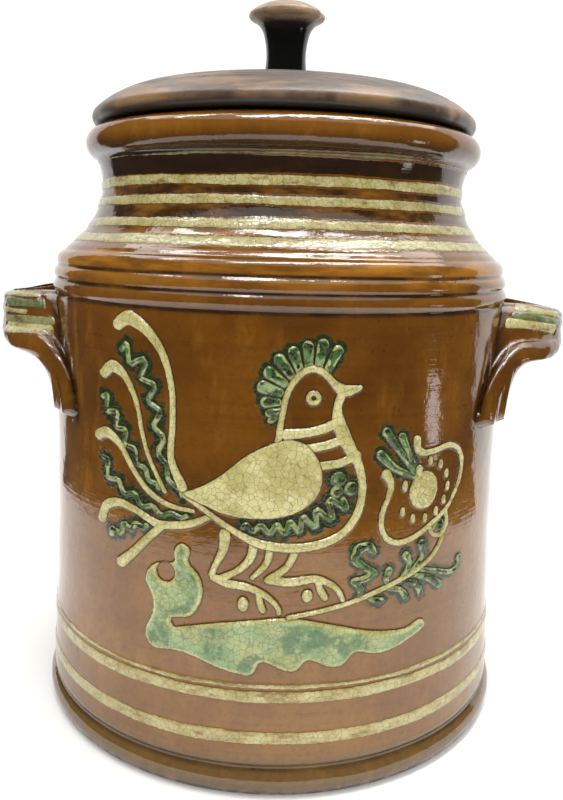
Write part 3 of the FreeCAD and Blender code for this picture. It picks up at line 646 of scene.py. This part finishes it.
def make_stripes(side, name, material):
    """Trail the slip stripes along a strap, each with its own width, ends and colour."""
    sizes = strap_sizes(side)
    low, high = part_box(name)
    stripes = LEFT_STRIPES if side < 0 else RIGHT_STRIPES
    pitch = (high.z - low.z) / len(stripes)
    points, faces, inside_all, green_all = [], [], [], []
    for number, (half, start, stop, green) in enumerate(stripes):
        middle = low.z + pitch * (number + 0.5) + STRIPE_LIFT[side]
        runs = ((-stop, stop),) if start == 0 else ((-stop, -start), (start, stop))
        for first, last in runs:
            share = np.linspace(first, last, STRIPE_SECTIONS)[None, :]
            end = np.clip(np.minimum(share - first, last - share) / STRIPE_END, 0, 1)
            swell = 1 + 0.14 * np.sin(11 * share + 2 * number)
            breadth = half * MM * np.sqrt(1 - (1 - end) ** 2) * swell
            part = np.linspace(-1, 1, STRIPE_ROWS)[:, None]
            offset = part * (breadth + POOL_REACH * POOL_WIDTH)
            slope = STRIPE_SLOPE[side] * (abs(share) - 0.45)
            height = middle + offset + slope + 0.35 * MM * np.sin(6 * share + number)
            inside = breadth - abs(offset)
            inset = outer_inset(share + 0 * height, height, sizes) - slip_height(inside, BAND_HEIGHT)
            count = sum(len(block) for block in points)
            points.append(strap_points(share + 0 * height, inset, height, sizes).reshape(-1, 3))
            faces += [
                tuple(count + index for index in (face[::-1] if side > 0 else face))
                for face in grid_faces(STRIPE_ROWS, STRIPE_SECTIONS, closed_columns=False)
            ]
            inside_all.append((inside / MM).ravel())
            green_all.append(np.full(len(points[-1]), green))
    piece = new_piece(
        name + "_slip", np.vstack(points), faces,
        {"inside": np.concatenate(inside_all), "green": np.concatenate(green_all)},
    )
    place_piece(piece, "crock", material, name)


# The lid and its knob ------------------------------------

# Lines cut by the turner's tool: radius and depth in mm, and their width.
LID_LINES = ((83.0, 0.35), (80.6, 0.30), (77.6, 0.22), (52.0, 0.12), (30.0, 0.10))
LID_LINE_WIDTH = 0.55 * MM
KNOB_LINES = ((13.5, 0.25), (9.0, 0.18))
KNOB_LINE_WIDTH = 0.5 * MM
LID_UNDER_RADII = (0, 20 * MM, 40 * MM, 60 * MM, 72 * MM)
# The lid's own profile is read from this radius outwards, just past the knob's tenon.
PAST_TENON = 6.2 * MM
LID_CROWN_RADIUS = 3 * MM
# Bruises on the lid's edge: angle from the front, depth in mm, breadth in radians.
BRUISES = ((0.9, 0.5, 0.03), (-0.7, 0.4, 0.05), (2.4, 0.7, 0.04), (-2.2, 0.5, 0.03))
# The chip out of the knob: angle from the front, breadth, height, how tall it is, and its depth.
CHIP_ANGLE, CHIP_BREADTH = 1.25, 0.16
CHIP_HEIGHT, CHIP_SPREAD, CHIP_DEPTH = 334.4 * MM, 1.6 * MM, 1.6 * MM


def make_lid(material):
    """Turn the wooden lid, with fine lines cut near its edge."""
    line = resample(meridian("lid"), PROFILE_STEP, 3)
    top = int(np.argmax(line[:, 0]))
    for radius, depth in LID_LINES:
        cut = depth * MM * np.exp(-((line[:, 0] - radius * MM) / LID_LINE_WIDTH) ** 2)
        line[top:, 1] -= cut[top:]
    solid = line[line[:, 0] > PAST_TENON]
    under = np.array([(radius, solid[0][1]) for radius in LID_UNDER_RADII])
    crown = np.array([(LID_CROWN_RADIUS, solid[-1][1]), (0.0, solid[-1][1])])
    profile = np.vstack([under, solid, crown])
    piece = lathe("lid_turned", profile, LID_SEGMENTS, lid_shift)
    place_piece(piece, "lid", material, "lid")


def lid_shift(angle, height, radius):
    """Make the old lid a little out of round, with a few bruises on its edge."""
    edge = np.clip((radius - 84 * MM) / (8 * MM), 0, 1)
    bruises = sum(
        depth * np.exp(-(angle_from(angle, place) / breadth) ** 2) for place, depth, breadth in BRUISES
    )
    return MM * (0.25 * np.sin(2 * angle + 1) - edge * bruises) * radius / (92 * MM)


def make_knob(material):
    """Turn the knob, with a small chip out of its cap."""
    line = resample(meridian("lid_knob"), PROFILE_STEP, 3)
    crown = int(np.argmax(line[:, 0]))
    for radius, depth in KNOB_LINES:
        cut = depth * MM * np.exp(-((line[:, 0] - radius * MM) / KNOB_LINE_WIDTH) ** 2)
        line[crown:, 1] -= cut[crown:]
    profile = np.vstack([[0.0, line[0][1]], line, [0.0, line[-1][1]]])
    piece = lathe("lid_knob_turned", profile, KNOB_SEGMENTS, knob_chip)
    place_piece(piece, "lid", material, "lid_knob")


def knob_chip(angle, height, radius):
    """Break a small chip out of the right edge of the knob's cap."""
    turn = angle_from(angle, CHIP_ANGLE)
    chip = np.exp(-(turn / CHIP_BREADTH) ** 2 - ((height - CHIP_HEIGHT) / CHIP_SPREAD) ** 2)
    return -CHIP_DEPTH * chip * np.clip((radius - 12 * MM) / (5 * MM), 0, 1)


# Materials -----------------------------------------------

class Surface:
    """Builds one procedural material, node by node. Sizes of patterns are in metres."""

    def __init__(self, name):
        self.material = bpy.data.materials.new(name)
        self.material.use_nodes = True
        self.tree = self.material.node_tree
        self.tree.nodes.clear()
        self.place = self.node("TexCoord").outputs["Object"]

    def node(self, kind, inputs=None, **settings):
        made = self.tree.nodes.new("ShaderNode" + kind)
        for word, value in settings.items():
            setattr(made, word, value)
        for word, value in (inputs or {}).items():
            socket = made.inputs[word]
            if isinstance(value, bpy.types.NodeSocket):
                self.tree.links.new(value, socket)
            else:
                socket.default_value = value
        return made

    def stretched(self, scale):
        return self.node("Mapping", {"Vector": self.place, "Scale": scale}).outputs[0]

    def noise(self, size, detail=4.0, rough=0.55, vector=None, distortion=0.0):
        return self.node("TexNoise", {
            "Vector": vector or self.place, "Scale": 1 / size, "Detail": detail,
            "Roughness": rough, "Distortion": distortion,
        }).outputs["Fac"]

    def cells(self, size, feature, vector=None):
        inputs = {"Vector": vector or self.place, "Scale": 1 / size}
        return self.node("TexVoronoi", inputs, feature=feature).outputs["Distance"]

    def value(self, name):
        return self.node("Attribute", attribute_name=name).outputs["Fac"]

    def span(self, value, low, high, start=0.0, end=1.0, smooth=True):
        return self.node("MapRange", {
            "Value": value, "From Min": low, "From Max": high, "To Min": start, "To Max": end,
        }, interpolation_type="SMOOTHSTEP" if smooth else "LINEAR").outputs["Result"]

    def math(self, operation, first, second=0.0):
        return self.node("Math", {0: first, 1: second}, operation=operation).outputs[0]

    def times(self, first, second):
        return self.math("MULTIPLY", first, second)

    def mix(self, share, first, second):
        made = self.node("Mix", {0: share}, data_type="RGBA")
        for index, value in ((6, first), (7, second)):
            if isinstance(value, bpy.types.NodeSocket):
                self.tree.links.new(value, made.inputs[index])
            else:
                made.inputs[index].default_value = (*value, 1.0)
        return made.outputs[2]

    def bump(self, height, depth, normal=None):
        inputs = {"Height": height, "Distance": depth, "Strength": 1.0}
        if normal:
            inputs["Normal"] = normal
        return self.node("Bump", inputs).outputs["Normal"]

    def height(self):
        return self.node("SeparateXYZ", {0: self.place}).outputs["Z"]

    def noise_colour(self, scale):
        inputs = {"Vector": self.place, "Scale": scale, "Detail": 3.0}
        return self.node("TexNoise", inputs).outputs["Color"]

    def vector(self, operation, inputs):
        return self.node("VectorMath", inputs, operation=operation).outputs[0]

    def crackle(self, size, width):
        wander = self.noise_colour(0.5 / size)
        shift = self.vector("SUBTRACT", {0: wander, 1: (0.5, 0.5, 0.5)})
        scaled = self.vector("SCALE", {0: shift, 3: 0.9 * size})
        place = self.vector("ADD", {0: self.place, 1: scaled})
        gap = self.cells(size, "DISTANCE_TO_EDGE", place)
        return self.span(gap, 0.0, width / size, 1.0, 0.0)

    def finish(self, **inputs):
        shader = self.node("BsdfPrincipled", inputs)
        self.node("OutputMaterial", {"Surface": shader.outputs[0]})
        return self.material


AMBER_DEEP = (0.072, 0.024, 0.0018)
AMBER_WARM = (0.122, 0.045, 0.0030)
AMBER_GOLD = (0.36, 0.150, 0.016)
# Lighter colours for the lower wall, a painted reflection of the pale floor.
LOWER_REFLECTED_DEEP = (0.142, 0.055, 0.0040)
LOWER_REFLECTED_WARM = (0.196, 0.084, 0.010)
FOOT_BROWN = (0.120, 0.066, 0.020)
GLAZE_DARK = (0.012, 0.005, 0.002)
CLAY = (0.36, 0.16, 0.085)


def amber(made):
    """Colour clear glaze over red clay: deep amber above; lighter and more golden below, as a painted
    reflection of the pale floor.
    """
    cloud = made.span(made.noise(38 * MM, 6.0, 0.6), 0.34, 0.66)
    upper = made.mix(cloud, AMBER_DEEP, AMBER_WARM)
    # The lower wall's painted reflection of the pale floor.
    lower = made.mix(cloud, LOWER_REFLECTED_DEEP, LOWER_REFLECTED_WARM)
    wander = made.span(made.noise(30 * MM, 5.0), 0.3, 0.7, -9 * MM, 9 * MM)
    level = made.math("ADD", made.height(), wander)
    colour = made.mix(made.span(level, 132 * MM, 104 * MM), upper, lower)
    colour = made.mix(made.span(made.height(), 20 * MM, 14 * MM), colour, FOOT_BROWN)
    mottle = made.span(made.noise(2.4 * MM, 4.0, 0.6), 0.42, 0.70, 0.0, 0.30)
    colour = made.mix(mottle, colour, AMBER_DEEP)
    runs = made.noise(9 * MM, 5.0, 0.6, made.stretched((1.0, 1.0, 0.28)))
    colour = made.mix(made.span(runs, 0.5, 0.8, 0.0, 0.25), colour, AMBER_GOLD)
    streaks = made.noise(15 * MM, 5.0, 0.65, made.stretched((0.10, 0.10, 5.0)))
    colour = made.mix(made.span(streaks, 0.50, 0.75, 0.0, 0.25), colour, GLAZE_DARK)
    freckles = made.span(made.noise(1.1 * MM, 2.0, 0.5), 0.64, 0.78, 0.0, 0.6)
    return made.mix(freckles, colour, GLAZE_DARK)


def glaze_surface():
    """Amber lead glaze over red clay: a painted highlight of gold on the crests, and painted shade,
    nearly black, in the grooves, at the handles' roots and under the rim.
    """
    made = Surface("amber_glaze")
    colour = amber(made)
    height = made.height()
    top_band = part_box("neck_slip_band_4")[1].z
    below_band = made.span(height, top_band, top_band - 4 * MM)
    golden = made.times(made.span(height, 200 * MM, 224 * MM), below_band)
    drifts = made.noise(16 * MM, 5.0, 0.6, made.stretched((0.35, 0.35, 1.6)))
    patches = made.span(drifts, 0.42, 0.62, 0.15, 0.75)
    colour = made.mix(made.times(golden, patches), colour, AMBER_GOLD)
    # Painted light from the relief: a gold painted highlight on the crests, and painted shade in the
    # grooves and at the handles' roots, broken up by streaks.
    relief_shading = made.value("relief_shading")
    streaks = made.noise(7 * MM, 4.0, 0.6, made.stretched((0.4, 0.4, 1.0)))
    broken = made.span(streaks, 0.3, 0.6, 0.45, 1.0)
    colour = made.mix(made.span(relief_shading, -0.05, -0.9, 0.0, 0.35), colour, AMBER_GOLD)
    colour = made.mix(made.times(made.span(relief_shading, 0.05, 0.8, 0.0, 0.95), broken), colour, GLAZE_DARK)
    colour = made.mix(made.span(height, 268 * MM, 273 * MM, 0.0, 0.16), colour, AMBER_GOLD)
    # Painted shade and dark reflection on the upper neck, under the rim roll and above the top band.
    above_band = made.span(height, top_band - 2 * MM, top_band + 3 * MM)
    under_rim_shade = made.times(above_band, made.span(height, 271 * MM, 265 * MM))
    colour = made.mix(made.times(under_rim_shade, 0.80), colour, GLAZE_DARK)
    pits = made.span(made.cells(17 * MM, "F1"), 0.02, 0.045, 1.0, 0.0)
    colour = made.mix(pits, colour, GLAZE_DARK)
    grime = made.times(made.span(height, 8 * MM, 0.5 * MM), made.span(made.noise(5 * MM), 0.3, 0.6))
    colour = made.mix(made.times(grime, 0.85), colour, (0.03, 0.02, 0.013))
    cloud = made.noise(30 * MM, 5.0)
    lining = made.mix(cloud, (0.10, 0.036, 0.006), (0.16, 0.06, 0.01))
    colour = made.mix(made.value("inside_pot"), colour, lining)
    bare = made.value("bare")
    clay = made.mix(made.noise(14 * MM, 8.0, 0.7), CLAY, (0.16, 0.075, 0.045))
    colour = made.mix(bare, colour, clay)
    rough = made.span(made.noise(16 * MM, 5.0), 0.3, 0.75, 0.03, 0.10)
    rough = made.math("MAXIMUM", rough, made.times(made.math("MAXIMUM", bare, grime), 0.7))
    rings = made.noise(7 * MM, 3.0, 0.6, made.stretched((0.10, 0.10, 5.0)))
    normal = made.bump(rings, 0.06 * MM)
    normal = made.bump(made.noise(8 * MM, 4.0, 0.55), 0.22 * MM, normal)
    normal = made.bump(made.noise(1.4 * MM, 2.0, 0.5), 0.012 * MM, normal)
    normal = made.bump(pits, -0.25 * MM, normal)
    return made.finish(**{"Base Color": colour, "Roughness": rough, "IOR": 1.68, "Normal": normal})


# Slip colours, light and dark, and how far greens reach over them.
CREAM = ((0.35, 0.31, 0.11), (0.49, 0.455, 0.21))
PALE_GREEN = ((0.085, 0.18, 0.060), (0.235, 0.32, 0.145))
DEEP_GREEN = ((0.006, 0.020, 0.007), (0.045, 0.130, 0.030))


def slip_surface(name, style):
    """Trailed slip under clear glaze: crackled, darker at its edges, with glaze pooled round it."""
    made = Surface(name)
    inside = made.value("inside")
    cream = made.mix(made.span(made.noise(9 * MM, 5.0), 0.35, 0.65), *CREAM)
    pale = made.mix(made.span(made.noise(8 * MM, 5.0, 0.6), 0.35, 0.62), *PALE_GREEN)
    deep = made.mix(made.span(made.noise(5 * MM, 4.0, 0.6), 0.40, 0.66), *DEEP_GREEN)
    if style == "strand":
        core = made.math("ADD", inside, made.span(made.noise(4 * MM, 4.0), 0.3, 0.7, -0.8, 0.9))
        colour = made.mix(made.span(core, 0.3, 0.7), made.mix(0.5, cream, pale), deep)
        colour = made.mix(made.span(made.noise(13 * MM, 4.0), 0.56, 0.66), colour, pale)
    elif style == "leaf":
        patches = made.span(made.noise(16 * MM, 4.0), 0.42, 0.56)
        colour = made.mix(patches, made.mix(0.5, cream, pale), pale)
        blotch = made.span(made.noise(12 * MM, 5.0, 0.65), 0.49, 0.62, 0.0, 0.8)
        colour = made.mix(blotch, colour, (0.045, 0.115, 0.045))
        colour = made.mix(made.span(inside, 2.2, 0.9, 0.0, 0.8), colour, cream)
    else:
        colour = made.mix(made.value("green"), cream, made.mix(0.65, pale, deep))
    edge_dark = 0.15 if style == "band" else 0.35
    colour = made.mix(made.span(inside, 0.05, 0.6, edge_dark, 0.0), colour, (0.23, 0.16, 0.035))
    crackle = made.crackle(2.6 * MM, 0.20 * MM)
    colour = made.mix(made.times(crackle, 0.6), colour, (0.10, 0.085, 0.04))
    specks = made.span(made.noise(0.9 * MM, 2.0), 0.66, 0.76, 0.0, 0.8)
    colour = made.mix(specks, colour, (0.05, 0.045, 0.02))
    glaze = amber(made)
    if style == "band":
        colour = made.mix(0.2, colour, glaze)
        drifts = made.noise(4 * MM, 5.0, 0.65, made.stretched((0.3, 0.3, 1.0)))
        worn = made.span(drifts, 0.52, 0.68, 0.0, 0.75)
        colour = made.mix(worn, colour, glaze)
        stained = made.mix(made.span(inside, 0.0, -0.5, 0.35, 0.0), glaze, GLAZE_DARK)
    elif style == "strand":
        spread = made.math("ADD", inside, made.span(made.noise(5 * MM, 5.0, 0.65), 0.3, 0.7, -1.1, 0.9))
        dark = made.mix(made.noise(3 * MM, 4.0), (0.003, 0.010, 0.004), (0.012, 0.035, 0.010))
        stained = made.mix(made.span(spread, -1.0, -2.3, 0.95, 0.0), glaze, dark)
        stained = made.mix(made.span(inside, -2.6, -1.8), glaze, stained)
    else:
        stained = made.mix(made.span(inside, -0.1, -0.75, 0.8, 0.0), glaze, GLAZE_DARK)
    colour = made.mix(made.span(inside, 0.10, -0.06), colour, stained)
    normal = made.bump(crackle, -0.05 * MM)
    normal = made.bump(made.noise(2.6 * MM, 3.0), 0.12 * MM, normal)
    return made.finish(**{
        "Base Color": colour, "Roughness": made.span(made.noise(8 * MM), 0.3, 0.7, 0.07, 0.18),
        "IOR": 1.66, "Normal": normal,
    })


def lid_surface():
    """Dark-stained turned wood, worn brown at the edge, with a waxed sheen and painted shadow on its
    underside.
    """
    made = Surface("stained_turned_wood")
    grain = made.noise(5 * MM, 7.0, 0.65, made.stretched((0.16, 1.0, 1.0)), 0.6)
    colour = made.mix(made.span(grain, 0.3, 0.7), (0.036, 0.020, 0.011), (0.085, 0.050, 0.028))
    turned = made.node("SeparateXYZ", {0: made.place})
    squares = [made.math("POWER", turned.outputs[axis], 2.0) for axis in "XY"]
    radius = made.math("SQRT", made.math("ADD", *squares))
    rim = made.span(radius, 70 * MM, 90 * MM, 0.0, 0.06)
    worn_side = made.math("ADD", rim, made.span(turned.outputs["X"], 0.0, -80 * MM, 0.0, 0.09))
    turning = made.node("CombineXYZ", {
        "X": turned.outputs["X"], "Y": turned.outputs["Y"], "Z": made.times(radius, 5.0),
    }).outputs[0]
    patches = made.noise(30 * MM, 6.0, 0.62, turning)
    wear = made.span(made.math("ADD", patches, worn_side), 0.50, 0.70, 0.0, 0.75)
    colour = made.mix(wear, colour, (0.25, 0.135, 0.055))
    inputs = {"W": made.times(radius, 900.0), "Detail": 3.0}
    rings = made.node("TexNoise", inputs, noise_dimensions="1D")
    grooves = made.span(rings.outputs["Fac"], 0.35, 0.6, 0.25, 0.0)
    colour = made.mix(grooves, colour, (0.02, 0.012, 0.008))
    # Painted shadow on the lid's underside and lower edge.
    under = made.span(turned.outputs["Z"], 283.5 * MM, 280.5 * MM)
    colour = made.mix(under, colour, (0.012, 0.009, 0.006))
    normal = made.bump(rings.outputs["Fac"], 0.06 * MM)
    normal = made.bump(grain, 0.08 * MM, normal)
    rough = made.span(made.noise(18 * MM, 5.0), 0.3, 0.7, 0.30, 0.46)
    return made.finish(**{
        "Base Color": colour, "Roughness": rough, "IOR": 1.5, "Normal": normal,
        "Coat Weight": 0.15, "Coat Roughness": 0.35,
    })


def knob_surface():
    """The knob's old dark varnish, worn to brown wood on its cap."""
    made = Surface("old_dark_varnish")
    cap = made.span(made.height(), 329 * MM, 333 * MM)
    worn = made.span(made.noise(8 * MM, 6.0, 0.6), 0.30, 0.50, 0.55, 1.0)
    dark = made.mix(made.noise(4 * MM, 5.0), (0.0006, 0.0007, 0.0009), (0.003, 0.003, 0.003))
    grain = made.noise(3.2 * MM, 6.0, 0.65, made.stretched((0.2, 1.0, 1.0)))
    brown = made.mix(made.span(grain, 0.3, 0.7), (0.17, 0.11, 0.066), (0.40, 0.28, 0.18))
    colour = made.mix(made.times(cap, worn), dark, brown)
    rough = made.span(cap, 0.0, 1.0, 0.14, 0.42, smooth=False)
    normal = made.bump(grain, 0.07 * MM)
    normal = made.bump(made.noise(1.6 * MM, 3.0), 0.05 * MM, normal)
    return made.finish(**{"Base Color": colour, "Roughness": rough, "IOR": 1.52, "Normal": normal})


# The studio ----------------------------------------------

# Panes of light, bright and dim: where each starts and stops round the pot, in degrees, how far out
# its near and far edges are, and its height, in metres.
BRIGHT_PANES = (
    (-98, -84, 0.35, 0.95, 1.5), (-52, -6, 0.42, 0.56, 1.5), (10, 34, 0.30, 0.50, 1.5),
    (48, 72, 0.40, 0.60, 1.5), (88, 96, 0.40, 0.80, 1.5),
)
DIM_PANES = (
    (-140, -100, 0.60, 1.50, 1.5), (100, 140, 0.60, 1.50, 1.5), (73, 80, 0.66, 1.08, 0.006),
)
BRIGHT_STRENGTH, DIM_STRENGTH = 12.0, 3.5
PANE_COLUMNS = 13
# The dark cloth: where it starts and stops round the pot, in degrees, then the radius and height
# of its near edge on the floor, of the fold behind, and of its top edge.
CLOTH_SWEEP = (-122, 109)
CLOTH_COLUMNS = 58
CLOTH_RADII = (0.41, 1.25, 1.25)
CLOTH_HEIGHTS = (0.004, 0.004, 1.5)
FLOOR_SIZE = 6.0


def plain_surface(name, colour, roughness):
    """A plain surface for the stage."""
    made = Surface(name)
    return made.finish(**{"Base Color": (*colour, 1.0), "Roughness": roughness})


def make_floor():
    """Lay a pale floor, and hang dark cloth in front so that the glaze shows its depth."""
    size = FLOOR_SIZE
    corners = [(-size, -size, 0), (size, -size, 0), (size, size, 0), (-size, size, 0)]
    floor = new_piece("floor", corners, [(0, 1, 2, 3)])
    floor.data.materials.append(plain_surface("pale_floor", (0.93, 0.93, 0.92), 0.75))
    bright = window_panes("bright_panes", BRIGHT_PANES, BRIGHT_STRENGTH)
    dim = window_panes("dim_panes", DIM_PANES, DIM_STRENGTH)
    dark_cloth()


def seen_in_gloss_only(piece):
    """Leave a piece of the studio out of everything but reflections."""
    piece.visible_camera = False
    piece.visible_diffuse = False
    piece.visible_shadow = False
    return piece


def dark_cloth():
    """Lay dark cloth round the front and hang up its far side; its left edge leans."""
    sweep = np.radians(np.linspace(*CLOTH_SWEEP, CLOTH_COLUMNS))[None, :]
    radius = np.array(CLOTH_RADII)[:, None] + 0 * sweep
    height = np.array(CLOTH_HEIGHTS)[:, None] + 0 * sweep
    hang = sweep + np.radians(5) * np.sin(9 * height + 2) * (abs(sweep) > 2.0) * np.sign(sweep)
    points = around(radius, hang, height).reshape(-1, 3)
    cloth = new_piece("dark_cloth", points, grid_faces(len(CLOTH_RADII), CLOTH_COLUMNS, False))
    cloth.data.materials.append(plain_surface("dark_cloth", (0.03, 0.028, 0.025), 0.9))
    return seen_in_gloss_only(cloth)


def window_panes(name, panes, strength):
    """Set panes of light round the pot, for the broken white lights in its glaze."""
    points, faces = [], []
    for first, last, near, far, height in panes:
        sweep = np.radians(np.linspace(first, last, PANE_COLUMNS))[None, :]
        radius = np.array([near, far])[:, None] + 0 * sweep
        start = sum(len(block) for block in points)
        points.append(around(radius, sweep, height).reshape(-1, 3))
        faces += [tuple(start + index for index in face) for face in grid_faces(2, PANE_COLUMNS, False)]
    piece = new_piece(name, np.vstack(points), faces)
    made = Surface(name + "_light")
    glow = made.node("Emission", {"Color": (1.0, 0.98, 0.95, 1.0), "Strength": strength})
    made.node("OutputMaterial", {"Surface": glow.outputs[0]})
    piece.data.materials.append(made.material)
    return seen_in_gloss_only(piece)


def area_light(name, place, target, width, depth, power):
    """Hang a soft lamp and aim it."""
    lamp = bpy.data.lights.new(name, "AREA")
    lamp.shape = "RECTANGLE"
    lamp.size = width
    lamp.size_y = depth
    lamp.energy = power
    holder = bpy.data.objects.new(name, lamp)
    holder.location = place
    holder.rotation_euler = (Vector(target) - Vector(place)).to_track_quat("-Z", "Y").to_euler()
    bpy.context.scene.collection.objects.link(holder)
    return holder


def light_studio():
    """Light the pot with a pale room and a long soft lamp overhead."""
    world = bpy.data.worlds.new("pale_room")
    bpy.context.scene.world = world
    world.use_nodes = True
    world.node_tree.nodes["Background"].inputs["Color"].default_value = (1.0, 0.99, 0.97, 1.0)
    world.node_tree.nodes["Background"].inputs["Strength"].default_value = 1.12
    area_light("overhead_lamp", (0.16, -0.12, 1.5), (0.05, 0.0, 0.2), 1.5, 0.22, 14.0)
    fill = area_light("front_fill_lamp", (0.2, -1.6, 0.9), (0.0, 0.0, 0.12), 1.6, 1.0, 8.0)
    fill.visible_glossy = False


# The camera: its place, its lens in mm, and its pitch, yaw and roll in degrees.
CAMERA_PLACE = (0, -0.4133, 0.2287)
CAMERA_LENS = 36.05
CAMERA_TURNS = (-11.23, 0.34, 1.61)


def make_camera():
    """Set the camera in front of the pot, looking a little down on it."""
    pitch, yaw, roll = (math.radians(turn) for turn in CAMERA_TURNS)
    ahead = Vector((math.sin(yaw) * math.cos(pitch), math.cos(yaw) * math.cos(pitch), math.sin(pitch)))
    right = Vector((math.cos(yaw), -math.sin(yaw), 0))
    up = right.cross(ahead)
    turned_right = right * math.cos(roll) + up * math.sin(roll)
    turned_up = up * math.cos(roll) - right * math.sin(roll)
    basis = Matrix((turned_right, turned_up, -ahead)).transposed()
    data = bpy.data.cameras.new("camera")
    data.lens = CAMERA_LENS
    data.clip_start = 0.01
    camera = bpy.data.objects.new("camera", data)
    camera.matrix_world = Matrix.Translation(CAMERA_PLACE) @ basis.to_4x4()
    bpy.context.scene.collection.objects.link(camera)
    bpy.context.scene.camera = camera


def build():
    """Build every piece, the stage, the lights and the camera."""
    make_camera()
    make_floor()
    light_studio()
    bpy.context.scene.view_settings.view_transform = "Standard"
    glaze = glaze_surface()
    cream = slip_surface("cream_slip_crackled", "plain")
    green = slip_surface("green_slip_crackled", "strand")
    leaf = slip_surface("pale_green_slip_crackled", "leaf")
    band = slip_surface("cream_slip_worn", "band")
    make_pot(glaze)
    for name in CREAM_PIECES:
        relief_piece(name, cream)
    relief_piece("bird_eye", cream, holes=((0.5, 0.5, 0.9 * MM),))
    for name in GREEN_PIECES:
        wide = name in ("bird_tail_strands", "bird_wing")
        relief_piece(name, green, WIDE_STAIN_WIDTH if wide else STAIN_WIDTH)
    relief_piece("ground_leaf", leaf, holes=((0.085, 0.74, 4.3 * MM),))
    for number, name in enumerate(CREAM_BANDS):
        band_piece(name, band, number)
    band_piece("rim_slip_line", band, len(CREAM_BANDS), green=1.0, spill=-0.7 * MM)
    for side, word in ((-1, "left"), (1, "right")):
        make_handle(side, word + "_handle", glaze)
        make_stripes(side, word + "_handle_stripes", band)
    make_lid(lid_surface())
    make_knob(knob_surface())


build()
